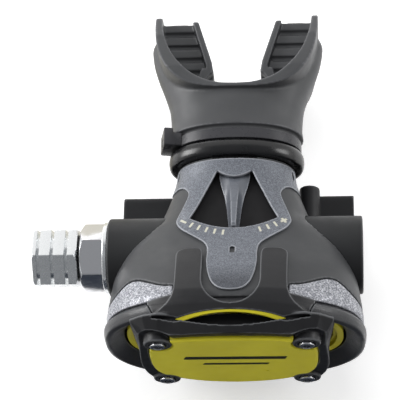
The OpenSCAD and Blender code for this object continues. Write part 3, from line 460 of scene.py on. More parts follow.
# Connector and washer: satin chrome plate, whose bands are blurred
SATIN = polished_metal("satin_chrome", "#eceeef", 0.22, 0.12)
# Screws, springs, demand lever and plate: turned or drawn stainless steel, greyer than chrome
STEEL = polished_metal("stainless_steel", "#c9cacd", 0.2, 0.15)
# Valve seat and spring plug: turned brass, warm and softly shining
BRASS = polished_metal("turned_brass", "#c9a75a", 0.3, 0.1)
# Poppet: moulded acetal, an even milky white
WHITE_PLASTIC = moulded_plastic("white_acetal", "#c2c4c7", "#b8babd", 0.45)
# Marks and bars: pad prints, flat and a little duller than what they lie on
PRINT = moulded_plastic("pale_print", "#dad8c8", "#cfcdbd", 0.5)
DARK_PRINT = moulded_plastic("black_print", "#2c2b22", "#29281f", 0.45)

# ---- form of the case, as the model has it ----

# Place along Y, half width, half height, rise and squareness of the rim, then of the neck, which has no rise
RIM_Y, RIM_A, RIM_B, RIM_RISE, RIM_N = 26.0, 43.2, 31.8, 1.0, 2.4
NECK_Y, NECK_A, NECK_B, NECK_N = 33.4, 21.8, 13.8, 2.2
FLARE_START = 27.0
# Half width and half height of the spigot behind the neck and of the airway through it
SPIGOT_A, SPIGOT_B = 18.5, 11.0
AIRWAY_A, AIRWAY_B = 16.5, 9.0
WALL = 2.4
BARREL_Y, BARREL_R, BARREL_END = 1.5, 13.5, 43.6
# Share of the way forward, then the share of the growth at the sides, top and bottom, and the squareness
FLARE = np.array([
    [0, 0, 0, 0, 2.1], [0.067, 0.035, 0.02, 0.06, 2.12], [0.135, 0.084, 0.05, 0.15, 2.2],
    [0.245, 0.2, 0.09, 0.34, 2.45], [0.312, 0.32, 0.135, 0.48, 2.75], [0.395, 0.545, 0.2, 0.6, 3.15],
    [0.51, 0.765, 0.32, 0.72, 3.3], [0.623, 0.86, 0.5, 0.81, 3.1], [0.709, 0.93, 0.66, 0.88, 2.8],
    [0.83, 0.98, 0.845, 0.95, 2.5], [0.93, 1.01, 0.97, 0.99, 2.4], [0.962, 1.015, 1, 1, 2.4], [1, 1, 1, 1, 2.4],
])


def smooth_table(table):
    """Monotone cubic through a table's columns against its first one."""
    x, y = table[:, 0], table[:, 1:]
    h = np.diff(x)[:, None]
    d = np.diff(y, axis=0) / h
    slope = np.zeros_like(y)
    slope[0], slope[-1] = d[0], d[-1]
    for i in range(1, len(x) - 1):
        same = d[i - 1] * d[i] > 0
        w1, w2 = 2 * h[i] + h[i - 1], h[i] + 2 * h[i - 1]
        safe_a, safe_b = np.where(same, d[i - 1], 1), np.where(same, d[i], 1)
        slope[i] = np.where(same, (w1 + w2) / (w1 / safe_a + w2 / safe_b), 0)

    def at(t):
        t = min(max(t, x[0]), x[-1])
        i = min(int(np.searchsorted(x, t, "right")) - 1, len(x) - 2)
        s = (t - x[i]) / h[i, 0]
        return (
            (1 + 2 * s) * (1 - s) ** 2 * y[i] + s * (1 - s) ** 2 * h[i, 0] * slope[i]
            + s**2 * (3 - 2 * s) * y[i + 1] - s**2 * (1 - s) * h[i, 0] * slope[i + 1]
        )

    return at


flare = smooth_table(FLARE)


def case_section(y):
    """Half width, top, bottom and squareness of the case at y."""
    side, top, bottom, n = flare((FLARE_START - y) / (FLARE_START + RIM_Y))
    # Towards its end the neck draws in a little
    drawn_in = 0.75 * min(1.0, max(0.0, (y - 17) / 9.5)) ** 2 + 0.13 * max(0.0, y - 26.5)
    return (
        NECK_A - drawn_in + (RIM_A - NECK_A) * side,
        NECK_B + (RIM_RISE + RIM_B - NECK_B) * top,
        -NECK_B + (RIM_RISE - RIM_B + NECK_B) * bottom,
        n,
    )


def case_ring(y, grow=0.0, flat=1.0):
    """Outline of the case at y, grown; flat is the share of the growth that its sides get."""
    a, top, bottom, n = case_section(y)
    return on_y(oval(a + grow * flat, (top - bottom) / 2 + grow, n), y, (top + bottom) / 2)


def stations(y0, y1):
    """Places about 1.2 mm apart."""
    return np.linspace(y0, y1, max(2, int(round((y1 - y0) / 1.2)) + 1))


def case_form(grow, y0, y1):
    return skin([case_ring(y, grow) for y in stations(y0, y1)])


def case_skin(g0, g1, y0, y1, flat=1.0):
    """Layer of the case's form between two growths."""
    ys = stations(y0, y1)
    return skin([case_ring(y, g1, flat) for y in ys] + [case_ring(y, g0, flat) for y in ys[::-1]], True)


def rim_outline(grow):
    return oval(RIM_A + grow, RIM_B + grow, RIM_N) + np.array([0, RIM_RISE])


def spigot_outline(grow=0.0):
    return oval(SPIGOT_A + grow, SPIGOT_B + grow, RIM_N)


def along_barrel(mesh):
    return moved(mesh, Matrix.Translation((0, BARREL_Y, 0)))


# ---- placing pieces ----


def mark_bends(mesh):
    """Stores on each point of a mesh in millimetres how sharply it bends outwards, as 1 / radius."""
    count = len(mesh.vertices)
    at, normal = np.empty(count * 3, np.float32), np.empty(count * 3, np.float32)
    mesh.vertices.foreach_get("co", at)
    mesh.vertex_normals.foreach_get("vector", normal)
    at, normal = at.reshape(-1, 3), normal.reshape(-1, 3)
    ends = np.empty(len(mesh.edges) * 2, np.int32)
    mesh.edges.foreach_get("vertices", ends)
    a, b = ends.reshape(-1, 2).T
    step = at[b] - at[a]
    bend = ((normal[b] - normal[a]) * step).sum(1) / np.maximum((step ** 2).sum(1), 0.01)
    both = np.concatenate([a, b])
    meeting = np.maximum(np.bincount(both, minlength=count), 1)
    bend = np.bincount(both, np.concatenate([bend, bend]), count) / meeting
    # Evened out twice, so that it doesn't change from point to point
    for _ in range(2):
        around = np.bincount(both, np.concatenate([bend[b], bend[a]]), count) / meeting
        bend = (bend + around) / 2
    mesh.attributes.new("bend", "FLOAT", "POINT").data.foreach_set("value", bend.astype(np.float32))


def place(name, mesh, material, nodes, body=BODY, sharp=None):
    """Makes a piece of the visible model from a mesh in millimetres, which may bring its own materials."""
    mark_bends(mesh)
    mesh = moved(mesh, Matrix.Translation(CENTRE) @ Matrix.Scale(MM, 4))
    mesh.name = name
    if not any(mesh.materials):
        mesh.materials.clear()
        mesh.materials.append(material)
    mesh.shade_smooth()
    if sharp:
        mesh.set_sharp_from_angle(angle=math.radians(sharp))
    o = add_object(name, mesh)
    if nodes:
        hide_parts(*nodes)
    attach(o, body)


# ---- barrel and inlet ----

TUBE_R = 7.2
SLEEVE_IN = 18
CAP_R, CAP_IN = 11.0, BARREL_END - 3
sleeve = [(TUBE_R, SLEEVE_IN), (BARREL_R, SLEEVE_IN), (BARREL_R, BARREL_END)]
left_sleeve = turned(rounded(sleeve + [(TUBE_R, BARREL_END)], [0, 0.4, 0.8, 0.3]), closed=True)
place("left_sleeve", flipped(along_barrel(left_sleeve)), SLEEVE, ["left_barrel"], sharp=40)
cap_room = [(CAP_R + 0.05, BARREL_END), (CAP_R + 0.05, CAP_IN), (TUBE_R, CAP_IN)]
right_sleeve = turned(rounded(sleeve + cap_room, [0, 0.4, 0.8, 0.3, 0, 0]), closed=True)
place("right_sleeve", along_barrel(right_sleeve), SLEEVE, ["right_barrel"], sharp=40)
cap = turned([(7, CAP_IN - 3), (7, CAP_IN)] + [tuple(p) for p in rounded(
    [(7, CAP_IN), (CAP_R, CAP_IN), (CAP_R, BARREL_END - 0.4), (8.2, BARREL_END - 0.4), (7.6, BARREL_END - 0.9),
     (0.01, BARREL_END - 0.9)], [0, 0, 0.5, 0.2, 0.2, 0])])
coin_slot = rounded([(-1.1, -6), (1.1, -6), (1.1, 6), (-1.1, 6)], 1.0)
cap = cut(cap, prism(coin_slot, BARREL_END - 2, BARREL_END + 1, "x"))
place("end_plug", along_barrel(cap), SLEEVE, ["end_cap"], sharp=35)

WASHER_R, WASHER_T = 12.4, 1.7
NUT_ACROSS, NUT_TURN = 20.6, 20.1
FIN_ACROSS, FIN_TURN = 19, 46.6
FIN_PITCH, FIN_GROOVE = 4.85, 1.1
NUT_X1 = -BARREL_END - WASHER_T
NUT_X0 = NUT_X1 - 8
FIN_X1 = NUT_X0 - 0.9
FIN_X0 = FIN_X1 - 15.3
x0, x1 = NUT_X1 + 0.03, NUT_X1 + 1.65
washer = rounded([(TUBE_R, x0), (WASHER_R, x0), (WASHER_R, x1), (TUBE_R, x1)], [0, 0.45, 0.45, 0])
washer = turned(washer, closed=True)
place("nut_washer_ring", along_barrel(washer), SATIN, ["nut_washer"], sharp=40)


def hexagon_bar(across, turn, corner, x0, x1, cone0, cone1):
    """Hexagon bar along X with rounded corners and a cone at each end, as (inwards, along)."""
    r = across / math.sqrt(3)
    corners = [(r * math.cos(a), r * math.sin(a)) for a in (math.radians(60 * i + turn) for i in range(6))]
    ends = turned([(0.01, x0), (r - cone0[0], x0), (r + 0.1, x0 + cone0[1]), (r + 0.1, x1 - cone1[1]),
                   (r - cone1[0], x1), (0.01, x1)])
    return common(prism(rounded(corners, corner, 4), x0, x1, "x"), ends)


nut = hexagon_bar(NUT_ACROSS, NUT_TURN, 0.5, NUT_X0, NUT_X1 - 0.05, (1.9, 1.3), (0.3, 0.45))
nut = cut(nut, cylinder(TUBE_R, NUT_X0 - 1, NUT_X1 + 1))
place("hex_nut", along_barrel(bevelled(nut, 0.25)), CHROME, ["case_nut"], sharp=35)

fins = hexagon_bar(FIN_ACROSS, FIN_TURN, 0.6, FIN_X0, FIN_X1, (0.5, 0.6), (1.3, 0.9))
for i in range(3):
    x = FIN_X1 - FIN_PITCH * (i + 0.66)
    fins = cut(fins, turned([(8, x - FIN_GROOVE), (14, x - FIN_GROOVE), (14, x), (8, x)], closed=True))
fins = cut(fins, turned([(TUBE_R, FIN_X1 + 1), (TUBE_R, FIN_X1 - 6.6), (4.3, FIN_X1 - 6.8), (4.3, FIN_X0 + 0.7),
                         (5, FIN_X0 - 0.3), (5, FIN_X0 - 1)]))
place("finned_connector", along_barrel(bevelled(fins, 0.22)), SATIN, ["hose_connector"],
      "hose_end", sharp=35)
inlet_seal = o_ring(7.7, 0.42, ((FIN_X1 + NUT_X0) / 2, BARREL_Y, 0))
place("inlet_seal", inlet_seal, RUBBER, ["connector_o_ring"])

# ---- top: pocket, cover and lever ----

# The lever's pivot, tilted by 10 degrees, and the lever's length ahead of it
PIVOT = Matrix.Translation((0, 28.2, NECK_B - 3.7)) @ Matrix.Rotation(math.radians(-10), 4, "X")
REACH = 24.0
# The window's sides begin this far ahead of the pivot, at this half width, and spread by this slope
FAN_START, FAN_HALF, FAN_SLOPE = 1.2, 6.0, 0.47


def fan(r, grow, lip=None):
    """Outline about the pivot: straight sides that spread towards the front, and an arc at the end."""
    w0 = FAN_HALF + grow
    a, b, c = 1 + FAN_SLOPE**2, 2 * (w0 * FAN_SLOPE + FAN_START), w0**2 + FAN_START**2 - r**2
    s = (-b + math.sqrt(b * b - 4 * a * c)) / (2 * a)
    corner = math.atan2(w0 + FAN_SLOPE * s, FAN_START + s)
    arc = [(r * math.sin(t), -r * math.cos(t)) for t in np.linspace(corner, -corner, 41)]
    back = [(-w0, -FAN_START)]
    if lip:
        # The cover's edge over the hub bulges towards the front
        back += [(x, -FAN_START - lip * (1 - (x / w0) ** 2)) for x in np.linspace(-w0 + 0.6, w0 - 0.6, 15)]
    back.append((w0, -FAN_START))
    return arc + back


POCKET_GROW = 1.6
pocket_plan = fan(REACH + 2.8, POCKET_GROW)
hub_room = rounded([(-7.6, -8), (7.6, -8), (7.6, 1.5), (4.3, 4.2), (-4.3, 4.2), (-7.6, 1.5)], 1.5)
pocket = join(moved(prism(pocket_plan, 0, 12), PIVOT), moved(prism(hub_room, 0, 12), PIVOT))
pocket_floor = moved(prism(grown(pocket_plan, POCKET_GROW), -2.2, 0), PIVOT)

# Right half of the cover's outline, from the tongue's front to the neck
COVER_HALF = [
    (0, -23.9), (3.6, -23.3), (6.2, -20.8), (7.7, -16.6), (8.4, -12), (8.4, -6.2), (8.9, -3.6), (10.2, -1.7),
    (13.4, 0.8), (17.6, 4.0), (19.3, 6.6), (19.4, 8.8), (17.9, 13.6), (16.1, 18.4), (16.0, 20.6), (17.6, 22.9),
    (19.6, 23.6), (22.4, 23.2), (30, 23.4), (30, 32.2),
]


def curve_through(points, steps=5):
    """Points of a smooth curve through the given ones (Catmull-Rom), ends kept."""
    p = np.array([points[0]] + list(points) + [points[-1]], float)
    out = []
    for i in range(1, len(p) - 2):
        for s in np.linspace(0, 1, steps, endpoint=False):
            a, b, c, d = p[i - 1], p[i], p[i + 1], p[i + 2]
            out.append(0.5 * (2 * b + (c - a) * s + (2 * a - 5 * b + 4 * c - d) * s**2
                              + (3 * b - a - 3 * c + d) * s**3))
    return [tuple(q) for q in out] + [tuple(p[-1])]


# Share of the cover's thickness that its sides get
COVER_FLAT = 0.35
cover_outline = mirrored(curve_through(COVER_HALF[:-1]) + [COVER_HALF[-1]])
cover = common(case_skin(-0.2, 1.0, -25.5, 32.2, COVER_FLAT), prism(cover_outline, 1.6, 60))
window = moved(prism(fan(REACH + 1.2, 0.0, 2.6), -4, 20), PIVOT)
vent = block((-0.8, -7.4, 15), (0.8, -4.4, 40), 0.2)
# Slits in the cover's ears
ear_notch = moved(prism(oval(0.9, 1.8, 2, 32), -1.2, 4), Matrix.Translation((19.8, 29.3, 4.6))
                  @ Matrix.Rotation(math.radians(68), 4, "Y"))
cover = cut(cover, window, vent, *both_sides(ear_notch))
place("grey_cover", moulded(cover, 0.24, 3, 0.5), COVER, ["top_cover"])


def tick(angle, length=2.3, width=0.75):
    """Bar that points at the pivot, printed on the cover's arc."""
    bar = block((-width / 2, -length / 2, -20), (width / 2, length / 2, 30), 0.2)
    turn = Matrix.Rotation(math.radians(angle), 4, "Z") @ Matrix.Translation((0, -REACH - 3.6, 0))
    return moved(bar, PIVOT @ turn)


marks = [tick(a) for a in (-31, -25, -19, -13, -7, 19, 25, 31)]
# A minus at one end and a plus at the other
marks += [tick(-38, 0.9, 2.5), tick(38, 0.9, 2.5), tick(38, 2.5, 0.9)]
marks = common(join(*marks), case_skin(0.7, 1.04, -20, 32, COVER_FLAT))
place("cover_marks", marks, PRINT, [], sharp=40)

# Lever at distances ahead of its pivot: half width, half width of the ridge, its height, height of the edges
LEVER_HALF = [(0, 5.3), (2.6, 5.3), (3.4, 5.2), (6, 4.6), (10, 3.5), (15, 2.6), (20, 2.1), (23, 1.8),
              (23.6, 1.5), (24, 0.9)]
LEVER_RIDGE = [(0, 2.6), (4, 2.5), (6, 1.9), (12, 1.5), (24, 1.0)]
LEVER_TOP = [(0, 2.2), (2, 2.5), (4.5, 2.5), (7, 2.6), (20, 3.9), (22.5, 4.2), (23.6, 3.6), (24, 2.4)]
LEVER_LOW = [(0, 1.6), (4.5, 1.3), (12, 0.8), (20, 0.8), (24, 0.9)]


def between(table, s):
    """Value at s on the line through a table's (place, value) points."""
    places, values = zip(*table)
    return float(np.interp(s, places, values))


def lever_ring(s):
    """Section of the lever: a raised flat ridge that falls away hollow to thin edges."""
    w, ridge, top, low = (between(table, s) for table in (LEVER_HALF, LEVER_RIDGE, LEVER_TOP, LEVER_LOW))
    half = []
    for f in np.linspace(0, 1, 14):
        x = w * f
        if x <= ridge * 0.8:
            z = top - 0.15 * (x / max(ridge, 0.1)) ** 2
        else:
            g = (x - ridge * 0.8) / max(w - ridge * 0.8, 0.05)
            z = low + (top - 0.1 - low) * (1 - min(1, g)) ** 1.7 * (1 + 0.3 * g)
        half.append((x, z))
    ring = half + [(w, 0.35), (-w, 0.35)] + [(-x, z) for x, z in half[:0:-1]]
    return np.array([(x, -s, z) for x, z in ring])


lever = skin([lever_ring(s) for s in np.concatenate([np.linspace(0, 22, 45), np.linspace(22.2, 24, 10)])])
hub = turned([(0.01, 0.3), (3.7, 0.3), (3.7, 1.8), (3.3, 2.2), (0.01, 2.3)], "z")
lever = moved(moulded(join(lever, hub), 0.2, 3, 0.5), PIVOT)
place("lever_blade", lever, LEVER, ["venturi_lever"], "venturi")

# ---- case ----

# The membrane's seat, and a point on the exhaust port's axis
SEAT_Y = -19.0
EXHAUST = (0, 15, 0)
case = join(case_form(0, -RIM_Y, NECK_Y), prism(spigot_outline(), NECK_Y - 2, NECK_Y + 16, "y"))
cavity = skin(
    [on_y(rim_outline(-WALL - 0.4), -RIM_Y - 1), on_y(rim_outline(-WALL - 0.4), -20.5), case_ring(-20.4, -5),
     case_ring(-18.6, -5), case_ring(-18, -WALL - 0.6)]
    + [case_ring(y, -WALL) for y in stations(-17, NECK_Y - 1.6)]
)
floor_lump = common(case_form(-0.6, -8, NECK_Y - 0.5), pocket_floor)
case = join(cut(case, cavity), floor_lump)
trim_edge = [(19.0, -20.8), (21.5, -20.5), (24, -19.8), (26.5, -18.7), (29, -17.4), (31.2, -16.5), (33, -16.2),
             (34.6, -16.4), (36.2, -17.2), (38.2, -18.6), (40.2, -19.9), (42.2, -21.0), (44, -21.8), (48, -23)]
trim_plan = [(18.6, -RIM_Y - 3)] + curve_through(trim_edge) + [(48, -RIM_Y - 3)]
trim_zone = prism(trim_plan, -60, 60)
trim_cut = common(case_skin(-1.4, 2, -RIM_Y - 1, -11), prism(grown(trim_plan, 0.45), -60, 60))
barrel = cylinder(BARREL_R + 0.05, -60, 60, at=(0, BARREL_Y, 0))
airway = prism(oval(AIRWAY_A, AIRWAY_B, RIM_N), -10, NECK_Y + 17, "y")
port = cylinder(8.5, -40, -16, "z", at=EXHAUST)
shaft = moved(cylinder(2.05, -8, 4, "z", steps=32), PIVOT)
case = cut(case, *both_sides(trim_cut), pocket, barrel, airway, port, shaft, *both_sides(ear_notch))
case = moulded(case, 0.42, 4, 0.45)


def painted_shade_half_width(y):
    """Half width of the well at y, seen from the pivot, where the case gets the painted shade."""
    if y >= 4.4:
        return 0
    side = FAN_HALF + 1.8 + FAN_SLOPE * max(0.0, -y - FAN_START)
    return min(side, math.sqrt(max(0.0, (REACH + 3.1) ** 2 - y * y)))


# The well's faces get the second material, a near-black painted shade
case.materials.clear()
case.materials.append(CASE)
case.materials.append(PAINTED_SHADE)
to_pivot = PIVOT.inverted()
for face in case.polygons:
    at = to_pivot @ face.center
    if abs(at.x) < painted_shade_half_width(at.y) and -0.6 < at.z < 30:
        face.material_index = 1
place("main_case", case, CASE, ["case"])

# ---- trims and ring ----

# The bridge's shoulders lie over the front of the trims
shoulder_plan = [(16.8, -27.4), (16.8, -24.4), (20.1, -24.7), (23.5, -25.2), (27.5, -26.0), (27.3, -27.4)]
trim = cut(common(case_skin(-1.35, 0.0, -RIM_Y + 0.1, -11), trim_zone), barrel,
           prism(grown(shoulder_plan, 0.12), 0, 60))
trims = join(trim, flipped(trim))
place("silver_trims", moulded(trims, 0.3, 3, 0.5), TRIM, ["side_trims"])

# Outer face of the ring from the front backwards, as (outwards, y), and its corners' radii
RING_FACE, FACE_RADII = [(-0.9, -31.8), (0.5, -31.1), (1.0, -29.3), (1.1, -27.8)], [0.4, 0.5, 1.0, 0.5]


def rim_sweep(profile, a0, a1, steps=220):
    """Sweeps (outwards, y) points round the rim between two angles in degrees."""
    rings = []
    for t in np.radians(np.linspace(a0, a1, steps)):
        c, s = signed_pow(math.cos(t), 2 / RIM_N), signed_pow(math.sin(t), 2 / RIM_N)
        rings.append([((RIM_A + g) * c, y, (RIM_B + g) * s + RIM_RISE) for g, y in profile])
    return skin(rings)


ring_profile = rounded([(-0.5, -26.12), (-3.8, -26.12), (-4.5, -27.4), (-6.3, -27.8)] + RING_FACE,
                       [0.2, 0.2, 0.3, 0.5] + FACE_RADII, 4)


def seam_plan(inset):
    """The gap in the ring that the bridge fills: its ends slant inwards towards the front."""
    half = [(27.6 - inset, -20), (27.6 - inset, -26.6), (25.7 - inset, -30.4), (25.5 - inset, -40)]
    return half + [(-x, y) for x, y in half[::-1]]


ring = cut(rim_sweep(ring_profile, -250, 70), prism(seam_plan(0), 0, 60))
place("clamp_ring", moulded(ring, 0.3, 3, 0.45), RING, ["front_ring"])

# ---- bridge ----

BUTTON_Y = -38.5
FRAME_FRONT, FRAME_BACK = -37.2, -33.0
BUTTON_RISE = 4.0
BOSS_R, BOSS_FRONT = 4.7, BUTTON_Y + 0.1
HEAD_FRONT = BUTTON_Y - 0.9
SPOTS = [(x * side, z) for x, z in ((24.4, 20.7), (24.0, -13.2)) for side in (-1, 1)]
PRONG_BACK = -5.6

# Right half of the button's outline, from top to bottom: nearly straight above, bowed below
BUTTON_HALF = [(0, 25.8), (8, 25.6), (14, 25.1), (19.5, 23.9), (24, 21.6), (26.8, 17.8), (27.9, 12), (28.0, 6),
               (27.8, 1), (27.0, -3.5), (25.2, -7.4), (22.2, -10.3), (18.5, -12.7), (13, -14.9), (7, -16.2),
               (0, -16.8)]
button_edge = mirrored(curve_through(BUTTON_HALF))


def button_outline(grow):
    return grown(button_edge, grow)


def at_screws(profile, steps=64):
    """The same turned solid at each screw."""
    return [turned(profile, "y", at=(x, 0, z), steps=steps) for x, z in SPOTS]


# How far the deck stands out from the rim at the sides and at the top, by place along Y
DECK_SIDE = [(FRAME_FRONT, -4.6), (-34.6, -2.4), (-31.8, 0.2), (-28.5, 1.6), (-26, 2.0)]
DECK_TOP = [(FRAME_FRONT, -3.8), (-34.6, -1.5), (-31.8, 0.6), (-28.5, 1.9), (-26, 2.2)]


def deck_ring(y, under=0.0):
    """Outside of the deck at y: over the case it follows it, ahead of the rim it falls to the frame."""
    if y > -RIM_Y:
        return case_ring(y, 2.2 - under)
    side, top = between(DECK_SIDE, y) - under, between(DECK_TOP, y) - under
    return on_y(oval(RIM_A + side, RIM_B + top, RIM_N), y, RIM_RISE)


def deck_layer(ys, upper, lower):
    """Layer between two depths under the deck's outside."""
    return skin([deck_ring(y, upper) for y in ys] + [deck_ring(y, lower) for y in ys[::-1]], True)


# Right half of the hood: its front edge, its side, the prong at its rear and the round notch between the prongs
deck_half = [(0, FRAME_FRONT - 1), (27.6, FRAME_FRONT - 1), (27.6, -34.4)]
deck_half += curve_through([(26.6, -32.4), (25.6, -31.5), (24.1, -30.2), (22.2, -28.8), (20.8, -27.6),
                            (19.6, -26.0), (18.8, -23.7), (18.5, -20.5), (18.5, -14), (18.6, -8.6)])
deck_half += curve_through([(18.3, -7.2), (17.2, -6.2), (15.4, PRONG_BACK), (11.6, PRONG_BACK), (10.2, -6.3),
                            (9.6, -8.4)])
deck_half += [(9.5, -20.1)]
deck_half += [(9.4 * math.cos(t), -20.1 - 8.5 * math.sin(t)) for t in np.linspace(0, math.pi / 2, 16)][1:]
deck = common(deck_layer(np.linspace(FRAME_FRONT, -4, 40), 0.0, 2.05), prism(mirrored(deck_half), 8, 60))
SLOT_Y, SLOT_HALF, SLOT_RISE = -32.8, 17.75, 2.15


def lens(half, rise):
    """The slot's outline: two flat arcs."""
    x = np.linspace(-half, half, 40)
    up = rise * (1 - (x / half) ** 2)
    return [(a, b + SLOT_Y) for a, b in zip(x, up)] + [(a, SLOT_Y - b) for a, b in zip(x[-2:0:-1], up[-2:0:-1])]


slot_hole = prism(lens(SLOT_HALF, SLOT_RISE), 24, 60)
FRAME_HALF = [(0, 27.6), (22, 27.6), (26.6, 26.8), (29.4, 24.6), (30.7, 21), (31.0, 16), (31.4, 9), (31.7, 2),
              (31.5, -4), (30.4, -10), (28.6, -14.4), (26.4, -17.4), (23.4, -18.0), (19.6, -15.6), (13, -16.6),
              (7, -17.6), (0, -18.2)]
frame_body = prism(mirrored(curve_through(FRAME_HALF, 4)), FRAME_FRONT, FRAME_BACK, "y")
# Arms from the hood down to the frame's sides, which lie over the ring
ARM_REAR = [(17, 31.4), (24, 31.8), (29, 29.9), (33.4, 26.0), (33.6, 21), (32.4, 13), (31.7, 8), (27, 8),
            (26, 20), (17, 25)]
ARM_FRONT = [(17, 28.0), (24, 27.6), (27.6, 26.4), (30.2, 23.2), (31.0, 18.4), (31.3, 12), (31.5, 8), (27, 8),
             (26, 20), (17, 24)]
arm = skin([on_y(ARM_REAR, -30.9), on_y(ARM_REAR, -31.5), on_y(ARM_FRONT, -36.3)])
bosses = at_screws(rounded([(0.01, BOSS_FRONT), (BOSS_R, BOSS_FRONT), (BOSS_R, FRAME_BACK), (0.01, FRAME_BACK)],
                           [0, 0.7, 0, 0]))
# A shallow funnel beside each upper boss sets it off from the frame
funnel = turned([(0.01, FRAME_FRONT - 3), (8.6, FRAME_FRONT - 3), (7.6, FRAME_FRONT - 0.1), (3.6, -35.2),
                 (0.01, -35.2)], "y", at=(26.4, 0, 23.4), steps=64)
button_hole = prism(button_outline(0.3), FRAME_FRONT - 1, FRAME_BACK + 4.5, "y")
# The bridge's own part of the ring
cap_profile = rounded([(-0.5, -26.15), (-3.1, -26.15), (-3.1, -28.4)] + RING_FACE,
                      [0.2, 0.2, 0.3] + FACE_RADII, 4)
wings = common(rim_sweep(cap_profile, 46, 134, 70), prism(seam_plan(0.25), 0, 60))
shoulder = common(case_skin(-0.2, 0.9, -27.4, -23), prism(shoulder_plan, 0, 60))
bridge = cut(join(frame_body, deck, arm, flipped(arm)), button_hole, *both_sides(funnel))
bridge = cut(join(bridge, wings, *both_sides(shoulder), *bosses), slot_hole)
# A groove runs on from each end of the slot, under the hood's edge
groove_plan = curve_through([(16.6, -33.1), (18.2, -32.3), (21.5, -31.8), (25.6, -31.7)])
groove_plan += curve_through([(26.0, -32.3), (22, -32.8), (18.6, -33.3), (16.9, -33.5)])
hood_ys = np.linspace(FRAME_FRONT, -28, 24)
groove = cut(prism(groove_plan, 20, 60), skin([deck_ring(y, 1.2) for y in hood_ys]))
bridge = cut(bridge, *both_sides(groove))
# Counterbores for the screws' heads
bridge = cut(bridge, *at_screws([(3.0, BOSS_FRONT - 3), (3.0, BOSS_FRONT + 0.7)], 48))
place("bridge_frame", moulded(bridge, 0.26, 3, 0.5), BRIDGE, ["front_bridge"])
# Painted shade: a dark sheet under the slot
shade = prism(lens(SLOT_HALF + 0.6, SLOT_RISE + 0.6), 26.5, 27.5)
place("slot_shade", shade, PAINTED_SHADE, ["front_bridge"], sharp=40)

HEAD_R, SHANK_R, SOCKET_R = 2.55, 1.45, 1.55
screw = turned(rounded([
    (1.35, HEAD_FRONT + 1.7), (1.5, HEAD_FRONT), (HEAD_R, HEAD_FRONT + 0.3), (HEAD_R, BOSS_FRONT + 0.6),
    (SHANK_R, BOSS_FRONT + 0.6), (SHANK_R, -30.2), (0.01, -30.2), (0.01, HEAD_FRONT + 1.7),
], [0, 0.2, 0.5, 0.1, 0, 0, 0, 0]), "y", steps=48)
socket = [(SOCKET_R * math.cos(t), SOCKET_R * math.sin(t)) for t in np.radians(range(0, 360, 60))]
screw = cut(screw, prism(socket, HEAD_FRONT - 3, HEAD_FRONT + 1.6, "y"))
screws = bpy.data.meshes.new("screws")
batch = bmesh.new()
for x, z in SPOTS:
    batch.from_mesh(moved(screw, Matrix.Translation((x, 0, z))))
batch.to_mesh(screws)
batch.free()
place("socket_screws", screws, STEEL, ["bridge_screws"], sharp=30)

# ---- purge cover and button ----

# The inner cover's plate: where it lies, and how far inside the rim it ends
COVER_Y, COVER_IN = -26.8, -6.7
STEM_R = 2.5
plate = join(prism(rim_outline(COVER_IN), COVER_Y, COVER_Y + 1.8, "y"),
             prism(rim_outline(COVER_IN), COVER_Y - 1.4, COVER_Y + 0.1, "y"))
plate = cut(plate, prism(rim_outline(COVER_IN - 2.2), COVER_Y - 2, COVER_Y, "y"))
posts = at_screws([(3.2, FRAME_BACK), (3.2, COVER_Y + 0.2)], 96)
plate = join(plate, *posts, cylinder(7.3, COVER_Y + 1.7, COVER_Y + 4.3, "y"))
side_vent = common(prism(rim_outline(COVER_IN - 3.4), COVER_Y - 3, COVER_Y + 3, "y"),
                   block((SPOTS[1][0] + 1.2, -40, BUTTON_RISE - 11), (40, -20, BUTTON_RISE + 9)))
plate = cut(plate, cylinder(5.8, COVER_Y - 1, COVER_Y + 2.2, "y"), cylinder(STEM_R + 0.05, -40, -10, "y"),
            *both_sides(side_vent))
# Lip that shows along the rear of the bridge's slot
lip_plan = [(x, y - 0.8) for x, y in lens(15.9, SLOT_RISE + 0.1)]
lip = common(deck_layer(hood_ys, 0.45, 1.1), prism(lens(SLOT_HALF + 0.1, SLOT_RISE + 0.08), 26, 60))
plate = join(plate, cut(lip, prism(lip_plan, 20, 60)))
place("inner_cover", bevelled(plate, 0.2, 2), INNER, ["purge_cover"], sharp=40)

# The button's soft front edge, as growth and depth
edge = [(-0.9, 0), (-0.45, 0.08), (-0.15, 0.35), (0, 0.8), (0, 3)]
button = skin([on_y(button_outline(g), BUTTON_Y + y) for g, y in edge])
boss_room = at_screws([(0.01, BUTTON_Y - 2), (5.5, BUTTON_Y - 2), (5.0, BUTTON_Y + 1), (5.0, -25), (0.01, -25)])
flange = prism(button_outline(-0.2), BUTTON_Y + 2.9, FRAME_BACK + 1.1, "y")
flange_rim = prism(oval(28.9, 9, 4) + np.array([0, BUTTON_RISE]), FRAME_BACK + 0.1, FRAME_BACK + 1.1, "y")
button = cut(join(button, flange), *boss_room)
button = join(button, flange_rim, cylinder(STEM_R, BUTTON_Y + 1, SEAT_Y - 2.2, "y"))
place("yellow_button", moulded(button, 0.26, 1, 0.45), YELLOW, ["purge_button"], "purge")
# Two plain printed bars: half width, height above the axis and half height
bars = []
for w, z, h in ((17, 8.6, 1.3), (11, 2.9, 0.8)):
    slanted = rounded([(-w, z - h), (w, z - h), (w + 1, z + h), (-w + 1, z + h)], 0.6)
    bars.append(prism(slanted, BUTTON_Y - 0.05, BUTTON_Y + 0.3, "y"))
place("button_bars", join(*bars), DARK_PRINT, [], "purge", sharp=40)

# ---- mouthpiece end ----

